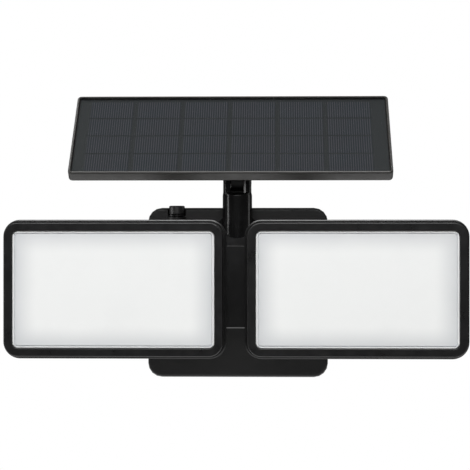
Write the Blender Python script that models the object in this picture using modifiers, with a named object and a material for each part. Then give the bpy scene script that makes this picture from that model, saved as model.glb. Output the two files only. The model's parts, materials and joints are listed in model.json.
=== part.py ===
"""Solar flood light for a wall: two swivelling lamp heads, a push button and a solar panel on a mast.

Units are metres and +Z is up. The wall is the plane y = 0, the light faces -Y, and the origin is the
middle of the wall face. Sizes called "out" are distances from the wall towards the viewer.
"""
import math

import bmesh
import bpy
from mathutils import Matrix

# Fits and mesh fineness
FIT = 0.0003
OVERRUN = 0.002
SLOPE = 0.0002
MERGE_DISTANCE = 0.00001
UPWARD = 0.5
CORNER_STEPS = 4
EDGE_STEPS = 2
FINE_SIDES = 32
ROUND_SIDES = 20
SMALL_SIDES = 12
TINY_SIDES = 8
HEX_SIDES = 6
SHARP_ANGLE = math.radians(35)

# Screws, bolts and nuts
SCREW_RADIUS = 0.0014
SCREW_HEAD_RADIUS = 0.0028
SCREW_HEAD_HEIGHT = 0.0018
BOLT_RADIUS = 0.0025
BOLT_HEAD_RADIUS = 0.0043
BOLT_HEAD_HEIGHT = 0.0033
BOLT_TAIL = 0.0010
NUT_RADIUS = 0.0046
NUT_HEIGHT = 0.0036
EDGE_BREAK = 0.0005

# Wall box
BOX_WIDTH = 0.1545
BOX_HEIGHT = 0.1455
BOX_DEPTH = 0.0300
BOX_CORNER = 0.0120
BOX_EDGE = 0.0025
BOX_WALL = 0.0030
RIM_WALL = 0.0020
RIM_SETBACK = 0.0006
SHELF_WIDTH = 0.0025
COVER_THICK = 0.0030
GASKET_THICK = 0.0012
POST_RADIUS = 0.0055
POST_INSET = 0.0105
COVER_SCREW_LENGTH = 0.0110
WIRE_HOLE_RADIUS = 0.0080
WIRE_HOLE_HEIGHT = -0.0120

# Keyhole slots in the back cover
KEYHOLE_SPACING = 0.0800
KEYHOLE_HEIGHT = 0.0240
KEYHOLE_ENTRY = 0.0100
KEYHOLE_SLOT = 0.0052
KEYHOLE_RUN = 0.0110
KEYHOLE_SKIN = 0.0024
KEYHOLE_DEPTH = 0.0068
KEYHOLE_WALL = 0.0018

# Battery, board and switch in the wall box
CELL_RADIUS = 0.0092
CELL_LENGTH = 0.0652
CELL_PITCH = 2 * CELL_RADIUS + 0.0016
CELL_COUNT = 2
CELL_ROW_HEIGHT = 0.0388 - BOX_HEIGHT / 2
CELL_OUT = (COVER_THICK + BOX_DEPTH - BOX_WALL) / 2
CELL_STUD_RADIUS = 0.0030
CELL_STUD_LENGTH = 0.0012
HOLDER_WALL = 0.0024
HOLDER_OUT = CELL_OUT - 0.0020
BOARD_WIDTH = 0.0600
BOARD_HEIGHT = 0.0360
BOARD_THICK = 0.0016
BOARD_X = BOX_WIDTH / 2 - 0.0442
BOARD_Z = BOX_HEIGHT / 2 - 0.0388
BOARD_GAP = 0.0032
BOARD_COLUMNS = 3
BOARD_ROWS = 2
BOARD_PITCH = 0.0170
BOARD_PART_GAP = 0.0060
BOARD_PART_RISE = 0.0030
STANDOFF_RADIUS = 0.0030
SWITCH_WIDTH = 0.0090
SWITCH_DEPTH = 0.0070
SWITCH_HEIGHT = 0.0110

# Push button in a round well at the upper left of the wall box
BUTTON_X = 0.0247 - BOX_WIDTH / 2
BUTTON_OUT = BOX_DEPTH - 0.0028
BUTTON_TOP = BOX_HEIGHT / 2 + 0.0018
BUTTON_RADIUS = 0.0058
BUTTON_EDGE = 0.0012
BUTTON_TRAVEL = 0.0025
STEM_OUT = BOX_DEPTH - 0.0065
STEM_RADIUS = 0.0020
STEM_REACH = 0.0010
WELL_RADIUS = BUTTON_RADIUS + 0.0024
WELL_FLOOR = BOX_HEIGHT / 2 - 0.0080
WELL_WALL = 0.0030
WELL_ROUND = 0.0016
COLLAR_WIDTH = 0.0010
COLLAR_HEIGHT = 0.0018

# Joint block on the front of the wall box, with its socket for the mast
MAST_RADIUS = 0.0125
SOCKET_WALL = 0.0014
BLOCK_SETBACK = 0.0005
MAST_OUT = BOX_DEPTH + BLOCK_SETBACK + SOCKET_WALL + MAST_RADIUS + 2 * FIT
BLOCK_PLATE_WIDTH = BOX_WIDTH - 0.0145
BLOCK_PLATE_TOP = 0.0400
BLOCK_BOTTOM = -0.0292
BLOCK_PLATE_THICK = 0.0040
BLOCK_PLATE_CORNER = 0.0060
BLOCK_HALF_WIDTH = 0.0340
BLOCK_TOP = 0.0650
BLOCK_SHOULDER = 0.0769
BLOCK_FRONT = MAST_OUT + MAST_RADIUS + 0.0067
BLOCK_FRONT_TOP = 0.0402
BLOCK_CHAMFER = 0.0030
BLOCK_FOOT = 0.0080
BLOCK_WALL = 0.0037
BLOCK_SCREW_X = 0.0410
BLOCK_SCREW_LENGTH = 0.0062
BLOCK_SCREW_MARGIN = 0.0070

# Mast with its fork and the nut that holds it
MAST_CHAMFER = 0.0006
SOCKET_FLOOR = 0.0240
SOCKET_BASE = 0.0060
STUB_RADIUS = 0.0047
STUB_LENGTH = 0.0175
WASHER_RADIUS = 0.0095
WASHER_THICK = 0.0015
MAST_NUT_RADIUS = 0.0080
MAST_NUT_HEIGHT = 0.0070
PIVOT_HEIGHT = 0.0953
FORK_WIDTH = 2 * MAST_RADIUS - 0.0012
FORK_DEPTH = 2 * MAST_RADIUS - 0.0060
FORK_CORNER = 0.0046
FORK_RUN = 0.0128
FORK_BLEND = 0.0034
FORK_SLOT_RUN = 0.0018
BOLT_RECESS = 0.0038

# Neck that carries the panel
TONGUE_WIDTH = 0.0105
TONGUE_END = FORK_DEPTH / 2 - 0.0008
GUSSET_GAP = 0.0025
GUSSET_REACH = 0.0140
GUSSET_THICK = 0.0040
FLANGE_WIDTH = 0.0640
FLANGE_HEIGHT = 0.0420
FLANGE_THICK = 0.0030
FLANGE_CORNER = 0.0050
FLANGE_SCREW_INSET = 0.0065
FLANGE_SCREW_LENGTH = 0.0048

# Solar panel
PANEL_WIDTH = 0.2685
PANEL_HEIGHT = 0.0955
PANEL_THICK = 0.0104
PANEL_CORNER = 0.0035
PANEL_EDGE = 0.0008
PANEL_BACK_EDGE = 0.0012
PANEL_TILT = math.radians(46.5)
PANEL_RISE = 0.0330
PANEL_SHIFT = -0.0050
TRAY_RIM = 0.0021
TRAY_FLOOR = 0.0025
TRAY_SHELF = 0.0040
GLASS_THICK = 0.0014
GLASS_RECESS = 0.0005
SHEET_THICK = 0.0012
SHEET_MARGIN = 0.0008
SOLAR_COLUMNS = 6
SOLAR_ROWS = 4
SOLAR_LEFT = 0.0109
SOLAR_RIGHT = 0.0140
SOLAR_TOP = 0.0052
SOLAR_BOTTOM = 0.0031
SOLAR_GAP = 0.0016
SOLAR_RISE = 0.0002

# Lamp heads
HEAD_GAP = 0.0148
HEAD_Z = 0.0055
HEAD_WIDTH = 0.1762
HEAD_HEIGHT = 0.1076
HEAD_CORNER = 0.0113
HEAD_DEPTH = 0.0300
HEAD_REAR = 0.0080
BEZEL_WIDTH = 0.0066
BEZEL_DEPTH = 0.0117
BEZEL_EDGE = 0.0010
BEZEL_LIP = 0.0025
BEZEL_SKIRT = 0.0026
SKIRT_CORNER = 0.0160
SHELL_STEP = 0.0025
RIM_BEAD = 0.0012
RIM_GROOVE = 0.0010
HEAD_X = (HEAD_GAP + HEAD_WIDTH) / 2 + SHELL_STEP
SHELL_FLANGE = 0.0060
SHELL_TAPER = 0.0155
SHELL_REAR_EDGE = 0.0020
SHELL_WALL = 0.0035
SPIGOT_WALL = 0.0027
CAVITY_TAPER = 0.0120
LENS_FLANGE = 0.0016
LENS_RECESS = 0.0011
LENS_EDGE = 0.0006
LENS_BORDER = 0.0018
LENS_GROOVE = 0.0004
SEAL_THICK = 0.0010
SEAL_WIDTH = 0.0022
LED_BOARD_MARGIN = 0.0045
LED_BOARD_THICK = 0.0016
LED_COLUMNS = 6
LED_ROWS = 3
LED_SIZE = 0.0050
LED_RISE = 0.0007
LED_POST_INSET = 0.0180
LED_POST_RADIUS = 0.0040
HEAD_SCREW_INSET = 0.0053
HEAD_SCREW_SEAT = 0.0030
HEAD_SCREW_LENGTH = 0.0085
RIB_COUNT = 6
RIB_PITCH = 0.0115
RIB_FIRST = -0.0080
RIB_WIDTH = 0.0022
RIB_HEIGHT = 0.0600
RIB_RISE = 0.0016

# Swivels between the joint block and the heads
PAN_X = BLOCK_PLATE_WIDTH / 2 - 0.0120
PAN_OUT = BOX_DEPTH + 0.0240
TILT_OUT = PAN_OUT + 0.0260
EAR_RADIUS = 0.0100
EAR_THICK = 0.0050
PAN_BARREL_RADIUS = 0.0090
PAN_BARREL_HEIGHT = 0.0254
TILT_BARREL_RADIUS = 0.0072
TILT_BARREL_WIDTH = 0.0180
LINK_WIDTH = 0.0120
LINK_HEIGHT = 0.0130
LUG_RADIUS = 0.0080
LUG_THICK = 0.0060

# Ways to lay a shape that is drawn in its own x and y, or a fastener that is drawn upright
FLAT = (0.0, 0.0, 0.0)
FRONT = (math.radians(90), 0.0, 0.0)
SIDE = (math.radians(90), 0.0, math.radians(-90))
ALONG_X = (0.0, math.radians(90), 0.0)
AGAINST_X = (0.0, math.radians(-90), 0.0)
REAR = (math.radians(-90), 0.0, 0.0)
UNDER = (math.radians(180), 0.0, 0.0)

# Finishes as colour, roughness and metalness
BLACK_PLASTIC = ((0.012, 0.012, 0.013), 0.35, 0.0)
BLACK_RUBBER = ((0.015, 0.015, 0.015), 0.70, 0.0)
MILKY_PLASTIC = ((0.86, 0.87, 0.88), 0.30, 0.0)
CLEAR_GLASS = ((0.55, 0.60, 0.64), 0.05, 0.0)
SILICON = ((0.020, 0.026, 0.040), 0.30, 0.0)
BOARD_GREEN = ((0.020, 0.120, 0.050), 0.45, 0.0)
BOARD_WHITE = ((0.80, 0.80, 0.78), 0.45, 0.0)
CELL_WRAP = ((0.050, 0.120, 0.300), 0.40, 0.0)
STEEL = ((0.42, 0.42, 0.44), 0.30, 1.0)
BLACK_STEEL = ((0.030, 0.030, 0.032), 0.40, 1.0)


# Scene and placing

def clear_scene():
    for old in list(bpy.data.objects):
        bpy.data.objects.remove(old)


def new_collection(name):
    group = bpy.data.collections.new(name)
    bpy.context.scene.collection.children.link(group)
    return group


def coat(name, finish):
    colour, roughness, metalness = finish
    made = bpy.data.materials.new(name + "_finish")
    made.use_nodes = True
    shader = made.node_tree.nodes["Principled BSDF"]
    shader.inputs["Base Color"].default_value = (*colour, 1.0)
    shader.inputs["Roughness"].default_value = roughness
    shader.inputs["Metallic"].default_value = metalness
    return made


def put(item, group, parent, at, turn):
    group.objects.link(item)
    item.parent = parent
    item.location = at
    item.rotation_euler = turn
    return item


def piece(name, mesh, finish, parent=None, at=(0.0, 0.0, 0.0), turn=FLAT):
    mesh.name = name
    mesh.materials.append(coat(name, finish))
    return put(bpy.data.objects.new(name, mesh), PARTS, parent, at, turn)


def tool(mesh, parent=None, at=(0.0, 0.0, 0.0), turn=FLAT):
    made = put(bpy.data.objects.new("tool", mesh), TOOLS, parent, at, turn)
    made.hide_render = True
    made.display_type = "WIRE"
    return made


def axis_empty(name, at, parent=None, turn=FLAT):
    return put(bpy.data.objects.new(name, None), PARTS, parent, at, turn)


def combine(part, operation, tools):
    for item in tools:
        step = part.modifiers.new(operation.lower(), "BOOLEAN")
        step.operation = operation
        step.solver = "EXACT"
        step.object = item


def join(part, *tools):
    combine(part, "UNION", tools)


def cut(part, *tools):
    combine(part, "DIFFERENCE", tools)


# Mesh makers

def finished(bm):
    bmesh.ops.recalc_face_normals(bm, faces=bm.faces)
    mesh = bpy.data.meshes.new("mesh")
    bm.to_mesh(mesh)
    bm.free()
    mesh.shade_smooth()
    mesh.set_sharp_from_angle(angle=SHARP_ANGLE)
    return mesh


def box(width, depth, height, edge=0.0):
    bm = bmesh.new()
    bmesh.ops.create_cube(bm, size=1.0, matrix=Matrix.Diagonal((width, depth, height, 1.0)))
    if edge:
        bmesh.ops.bevel(bm, geom=bm.edges[:], offset=edge, segments=1, affect="EDGES")
    return finished(bm)


def cylinder(radius, length, sides=ROUND_SIDES):
    bm = bmesh.new()
    bmesh.ops.create_cone(
        bm, cap_ends=True, segments=sides, radius1=radius, radius2=radius, depth=length)
    return finished(bm)


def rounded(width, height, radius, middle=(0.0, 0.0)):
    """Points of a rounded rectangle, anticlockwise from the right-hand end of its top right arc."""
    points = []
    for quarter, (side, level) in enumerate(((1, 1), (-1, 1), (-1, -1), (1, -1))):
        x = middle[0] + side * (width / 2 - radius)
        y = middle[1] + level * (height / 2 - radius)
        for step in range(CORNER_STEPS + 1):
            angle = math.radians(90) * (quarter + step / CORNER_STEPS)
            points.append((x + radius * math.cos(angle), y + radius * math.sin(angle)))
    return points


def loft(sections, ring=False):
    """Skin over sections of equally many points, each (points, level). A ring has no end faces."""
    bm = bmesh.new()
    loops = [[bm.verts.new((x, y, level)) for x, y in points] for points, level in sections]
    pairs = list(zip(loops, loops[1:]))
    if ring:
        pairs.append((loops[-1], loops[0]))
    else:
        bm.faces.new(loops[0])
        bm.faces.new(loops[-1])
    for first, second in pairs:
        for index, vertex in enumerate(first):
            bm.faces.new((first[index - 1], vertex, second[index], second[index - 1]))
    return finished(bm)


def prism(points, low, high):
    return loft([(points, low), (points, high)])


def plate(width, height, radius, low, high, middle=(0.0, 0.0)):
    return prism(rounded(width, height, radius, middle), low, high)


def quarter_round(width, height, radius, edge, front):
    """Sections of a front edge that is rounded over, from the side wall to the face."""
    sections = []
    for step in range(EDGE_STEPS + 1):
        angle = math.radians(90) * step / EDGE_STEPS
        inset = edge * (1 - math.cos(angle))
        level = front - edge * (1 - math.sin(angle))
        sections.append((rounded(width - 2 * inset, height - 2 * inset, radius - inset), level))
    return sections


def tombstone(radius, run, up=True):
    """Half disc round the origin on a straight body that runs the other way."""
    half_turn = ROUND_SIDES // 2
    points = []
    for step in range(half_turn + 1):
        angle = math.pi * step / half_turn
        points.append((radius * math.cos(angle), radius * math.sin(angle)))
    points += [(-radius, -run), (radius, -run)]
    if not up:
        points = [(-x, -y) for x, y in points]
    return points


def turned(part, sides=ROUND_SIDES):
    """Turns a profile, drawn top to bottom, round the local Z axis."""
    screw = part.modifiers.new("turned", "SCREW")
    screw.axis = "Z"
    screw.steps = sides
    screw.render_steps = sides
    screw.use_merge_vertices = True
    screw.merge_threshold = MERGE_DISTANCE
    screw.use_smooth_shade = True
    return part


def profile(points, closed=False):
    mesh = bpy.data.meshes.new("profile")
    edges = [(index, index + 1) for index in range(len(points) - 1)]
    if closed:
        edges.append((len(points) - 1, 0))
    mesh.from_pydata([(radius, 0.0, level) for radius, level in points], edges, [])
    return mesh


def studded(width, height, thick, columns, rows, pitch, gap, rise, middle=(0.0, 0.0)):
    """Flat board with a grid of low raised rectangles on its upper face."""
    bm = bmesh.new()
    bmesh.ops.create_cube(bm, size=1.0, matrix=Matrix.Diagonal((width, height, thick, 1.0)))
    for axis, count in ((0, columns), (1, rows)):
        for line in range(count + 1):
            place = [0.0, 0.0, 0.0]
            facing = [0.0, 0.0, 0.0]
            place[axis] = middle[axis] + (line - count / 2) * pitch[axis]
            facing[axis] = 1.0
            top = [face for face in bm.faces if face.normal.z > UPWARD]
            edges = {edge for face in top for edge in face.edges}
            corners = {corner for face in top for corner in face.verts}
            bmesh.ops.bisect_plane(
                bm, geom=[*top, *edges, *corners], plane_co=place, plane_no=facing)
    spans = [middle[0], columns * pitch[0] / 2, middle[1], rows * pitch[1] / 2]
    cells = []
    for face in bm.faces:
        spot = face.calc_center_median()
        inside = abs(spot.x - spans[0]) < spans[1] and abs(spot.y - spans[2]) < spans[3]
        if face.normal.z > UPWARD and inside:
            cells.append(face)
    bmesh.ops.inset_individual(bm, faces=cells, thickness=gap / 2)
    bmesh.ops.inset_individual(bm, faces=cells, thickness=SLOPE, depth=rise)
    return finished(bm)


# Fasteners, each drawn upright with the seat of its head at its origin

def screw(name, length, parent, at, turn):
    head = SCREW_HEAD_RADIUS
    points = [
        (0.0, SCREW_HEAD_HEIGHT), (head - EDGE_BREAK, SCREW_HEAD_HEIGHT),
        (head, SCREW_HEAD_HEIGHT - EDGE_BREAK), (head, 0.0), (SCREW_RADIUS, 0.0),
        (SCREW_RADIUS, -length), (0.0, -length)]
    return turned(piece(name, profile(points), STEEL, parent, at, turn), TINY_SIDES)


def bolt(name, length, parent, at, turn):
    head = BOLT_HEAD_RADIUS
    points = [
        (0.0, BOLT_HEAD_HEIGHT), (head - EDGE_BREAK, BOLT_HEAD_HEIGHT),
        (head, BOLT_HEAD_HEIGHT - EDGE_BREAK), (head, 0.0), (BOLT_RADIUS, 0.0),
        (BOLT_RADIUS, EDGE_BREAK - length), (BOLT_RADIUS - EDGE_BREAK, -length), (0.0, -length)]
    return turned(piece(name, profile(points), BLACK_STEEL, parent, at, turn), SMALL_SIDES)


def nut(name, radius, height, bore, parent, at, turn):
    made = piece(name, cylinder(radius, height, HEX_SIDES), BLACK_STEEL, parent, at, turn)
    cut(made, tool(cylinder(bore + FIT, height + 2 * OVERRUN), parent, at, turn))
    return made


def bore(radius, length, parent, at, turn, sides=SMALL_SIDES):
    return tool(cylinder(radius + FIT, length, sides), parent, at, turn)


# Wall box

def build_box():
    rim = (BOX_WIDTH - 2 * RIM_WALL, BOX_HEIGHT - 2 * RIM_WALL, BOX_CORNER - RIM_WALL)
    inner = [rim[0] - 2 * SHELF_WIDTH, rim[1] - 2 * SHELF_WIDTH, rim[2] - SHELF_WIDTH]
    shelf = COVER_THICK + GASKET_THICK + 2 * FIT
    front_wall = BOX_DEPTH - BOX_WALL
    outer = [
        (rounded(BOX_WIDTH - 2 * EDGE_BREAK, BOX_HEIGHT - 2 * EDGE_BREAK, BOX_CORNER - EDGE_BREAK),
         RIM_SETBACK),
        (rounded(BOX_WIDTH, BOX_HEIGHT, BOX_CORNER), RIM_SETBACK + EDGE_BREAK)]
    outer += quarter_round(BOX_WIDTH, BOX_HEIGHT, BOX_CORNER, BOX_EDGE, BOX_DEPTH)
    housing = piece("box_housing", loft(outer), BLACK_PLASTIC, turn=FRONT)
    cut(housing,
        tool(plate(*rim, -OVERRUN, shelf), turn=FRONT),
        tool(plate(*inner, shelf - OVERRUN, front_wall), turn=FRONT))

    post_x = BOX_WIDTH / 2 - POST_INSET
    post_z = BOX_HEIGHT / 2 - POST_INSET
    post_foot = COVER_THICK + FIT
    corners = [(post_x, post_z), (-post_x, post_z), (-post_x, -post_z), (post_x, -post_z)]
    post_length = front_wall + OVERRUN - post_foot
    for x, z in corners:
        at = (x, -post_foot - post_length / 2, z)
        join(housing, tool(cylinder(POST_RADIUS, post_length, SMALL_SIDES), at=at, turn=FRONT))
    build_standoffs(housing, front_wall)
    build_button(housing)
    for x, z in corners:
        depth = COVER_THICK + COVER_SCREW_LENGTH
        cut(housing, bore(SCREW_RADIUS, 2 * depth, None, (x, 0.0, z), FRONT, TINY_SIDES))
    cut(housing, tool(cylinder(WIRE_HOLE_RADIUS, BOX_WALL + 2 * OVERRUN),
                      at=(0.0, -front_wall - BOX_WALL / 2, WIRE_HOLE_HEIGHT), turn=FRONT))
    build_cover(rim, corners)
    seal = (rim[0] - 2 * FIT, rim[1] - 2 * FIT, rim[2] - FIT)
    band = 2 * (SHELF_WIDTH - 2 * FIT)
    low = COVER_THICK + FIT
    high = low + GASKET_THICK
    wide = rounded(*seal)
    narrow = rounded(seal[0] - band, seal[1] - band, seal[2] - band / 2)
    piece("box_gasket", loft([(wide, low), (wide, high), (narrow, high), (narrow, low)], ring=True),
          BLACK_RUBBER, turn=FRONT)
    build_battery()
    return housing


def build_standoffs(housing, front_wall):
    """Control board and the four pins that hold it off the front wall."""
    board_out = front_wall - BOARD_GAP - BOARD_THICK / 2
    pin_length = BOARD_GAP + OVERRUN - FIT
    for side in (-1, 1):
        for level in (-1, 1):
            x = BOARD_X + side * (BOARD_WIDTH / 2 - 2 * STANDOFF_RADIUS)
            z = BOARD_Z + level * (BOARD_HEIGHT / 2 - 2 * STANDOFF_RADIUS)
            at = (x, -front_wall - OVERRUN + pin_length / 2, z)
            join(housing, tool(cylinder(STANDOFF_RADIUS, pin_length, TINY_SIDES), at=at, turn=FRONT))
    mesh = studded(BOARD_WIDTH, BOARD_HEIGHT, BOARD_THICK, BOARD_COLUMNS, BOARD_ROWS,
                   (BOARD_PITCH, BOARD_PITCH), BOARD_PART_GAP, BOARD_PART_RISE)
    piece("control_board", mesh, BOARD_GREEN, at=(BOARD_X, -board_out, BOARD_Z), turn=REAR)


def build_cover(rim, corners):
    size = (rim[0] - 2 * FIT, rim[1] - 2 * FIT, rim[2] - FIT)
    cover = piece("back_cover", plate(*size, 0.0, COVER_THICK), BLACK_PLASTIC, turn=FRONT)
    pocket = KEYHOLE_ENTRY + 2 * KEYHOLE_WALL
    pocket_run = KEYHOLE_RUN + KEYHOLE_SLOT / 2 + KEYHOLE_ENTRY / 2 + 2 * KEYHOLE_WALL
    pocket_middle = KEYHOLE_HEIGHT + (KEYHOLE_RUN + KEYHOLE_SLOT / 2 - KEYHOLE_ENTRY / 2) / 2
    for side in (-1, 1):
        x = side * KEYHOLE_SPACING / 2
        join(cover, tool(
            plate(pocket, pocket_run, KEYHOLE_SLOT / 2, COVER_THICK - OVERRUN,
                  KEYHOLE_DEPTH + KEYHOLE_WALL, (x, pocket_middle)), turn=FRONT))
        top = KEYHOLE_HEIGHT + KEYHOLE_RUN
        slot_middle = (KEYHOLE_HEIGHT + top) / 2
        cut(cover,
            tool(cylinder(KEYHOLE_ENTRY / 2, KEYHOLE_DEPTH + OVERRUN),
                 at=(x, OVERRUN / 2 - KEYHOLE_DEPTH / 2, KEYHOLE_HEIGHT), turn=FRONT),
            tool(plate(KEYHOLE_SLOT, KEYHOLE_RUN + KEYHOLE_SLOT, KEYHOLE_SLOT / 2 - SLOPE,
                       -OVERRUN, KEYHOLE_SKIN + OVERRUN / 2, (x, slot_middle)), turn=FRONT),
            tool(plate(KEYHOLE_ENTRY - SLOPE, KEYHOLE_RUN + KEYHOLE_SLOT, KEYHOLE_SLOT / 2 - SLOPE,
                       KEYHOLE_SKIN, KEYHOLE_DEPTH - SLOPE, (x, slot_middle)), turn=FRONT))
    sink = SCREW_HEAD_HEIGHT + 2 * FIT
    for index, (x, z) in enumerate(corners, 1):
        cut(cover,
            bore(SCREW_HEAD_RADIUS, sink + OVERRUN, None, (x, (OVERRUN - sink) / 2, z), FRONT),
            bore(SCREW_RADIUS, COVER_THICK + 2 * OVERRUN, None, (x, -COVER_THICK / 2, z), FRONT,
                 TINY_SIDES))
        screw(f"cover_screw_{index}", COVER_SCREW_LENGTH, None, (x, FIT - sink, z), REAR)


def build_battery():
    length = CELL_LENGTH + 2 * (HOLDER_WALL + FIT)
    height = CELL_COUNT * CELL_PITCH + HOLDER_WALL
    low = COVER_THICK + FIT
    holder = piece("battery_holder", box(length, HOLDER_OUT - low, height), BLACK_PLASTIC,
                   at=(0.0, -(low + HOLDER_OUT) / 2, CELL_ROW_HEIGHT))
    for index in range(CELL_COUNT):
        at = (0.0, -CELL_OUT, CELL_ROW_HEIGHT + (index - (CELL_COUNT - 1) / 2) * CELL_PITCH)
        room = cylinder(CELL_RADIUS + FIT, CELL_LENGTH + 2 * FIT, SMALL_SIDES)
        cut(holder, tool(room, at=at, turn=ALONG_X))
        half = CELL_LENGTH / 2
        shoulder = half - CELL_STUD_LENGTH
        points = [
            (0.0, half), (CELL_STUD_RADIUS, half), (CELL_STUD_RADIUS, shoulder),
            (CELL_RADIUS - EDGE_BREAK, shoulder), (CELL_RADIUS, shoulder - EDGE_BREAK),
            (CELL_RADIUS, EDGE_BREAK - half), (CELL_RADIUS - EDGE_BREAK, -half), (0.0, -half)]
        turned(piece(f"battery_cell_{index + 1}", profile(points), CELL_WRAP, at=at, turn=ALONG_X),
               SMALL_SIDES)


# Push button

def build_button(housing):
    """Well and round shelf in the housing, fixed collar and switch, and the cap that slides down in them."""
    middle = (BUTTON_X, -BUTTON_OUT)
    stem_at = (BUTTON_X, -STEM_OUT)
    well_low = WELL_FLOOR - WELL_WALL
    well_high = BOX_HEIGHT / 2 - RIM_WALL
    well_size = 2 * (WELL_RADIUS + WELL_WALL)
    well_front = BOX_DEPTH - BOX_WALL / 2
    well_back = BUTTON_OUT - WELL_RADIUS - WELL_WALL
    join(housing, tool(
        box(well_size, well_front - well_back, well_high - well_low),
        at=(BUTTON_X, -(well_front + well_back) / 2, (well_high + well_low) / 2)),
        tool(cylinder(WELL_RADIUS, WELL_WALL), at=(*middle, WELL_FLOOR - WELL_WALL / 2)))
    rise = BOX_HEIGHT / 2 + OVERRUN
    bowl = [(0.0, rise), (WELL_RADIUS, rise)]
    for step in range(CORNER_STEPS + 1):
        angle = math.radians(90) * step / CORNER_STEPS
        bowl.append((WELL_RADIUS - WELL_ROUND * (1 - math.cos(angle)),
                     WELL_FLOOR + WELL_ROUND * (1 - math.sin(angle))))
    bowl.append((0.0, WELL_FLOOR))
    cut(housing,
        turned(tool(profile(bowl), at=(*middle, 0.0)), ROUND_SIDES),
        bore(STEM_RADIUS, 4 * WELL_WALL, None, (*stem_at, WELL_FLOOR - WELL_WALL / 2), FLAT))

    inner = BUTTON_RADIUS + FIT
    outer = inner + COLLAR_WIDTH
    low = WELL_FLOOR + FIT
    high = low + COLLAR_HEIGHT
    rim = [(inner, high), (outer - EDGE_BREAK, high), (outer, high - EDGE_BREAK), (outer, low), (inner, low)]
    turned(piece("button_collar", profile(rim, closed=True), BLACK_PLASTIC, at=(*middle, 0.0)))

    switch_top = well_low - FIT
    switch = piece("power_switch", box(SWITCH_WIDTH, SWITCH_DEPTH, SWITCH_HEIGHT, EDGE_BREAK),
                   BLACK_PLASTIC, at=(*stem_at, switch_top - SWITCH_HEIGHT / 2))
    bore_depth = STEM_REACH + BUTTON_TRAVEL + FIT
    cut(switch, bore(STEM_RADIUS, 2 * bore_depth, None, (*stem_at, switch_top), FLAT))

    travel = axis_empty("button_travel", (*middle, BUTTON_TOP))
    edge = BUTTON_EDGE
    skirt = WELL_FLOOR + FIT + BUTTON_TRAVEL - BUTTON_TOP
    stem_end = switch_top - STEM_REACH - BUTTON_TOP
    points = [(0.0, 0.0)]
    for step in range(CORNER_STEPS + 1):
        angle = math.radians(90) * step / CORNER_STEPS
        points.append((BUTTON_RADIUS - edge * (1 - math.sin(angle)), edge * (math.cos(angle) - 1)))
    points += [(BUTTON_RADIUS, skirt), (0.0, skirt)]
    cap = turned(piece("button_cap", profile(points), BLACK_RUBBER, travel))
    stem_length = skirt + OVERRUN - stem_end
    join(cap, tool(cylinder(STEM_RADIUS, stem_length, SMALL_SIDES), travel,
                   (0.0, BUTTON_OUT - STEM_OUT, stem_end + stem_length / 2)))


# Joint block

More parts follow.
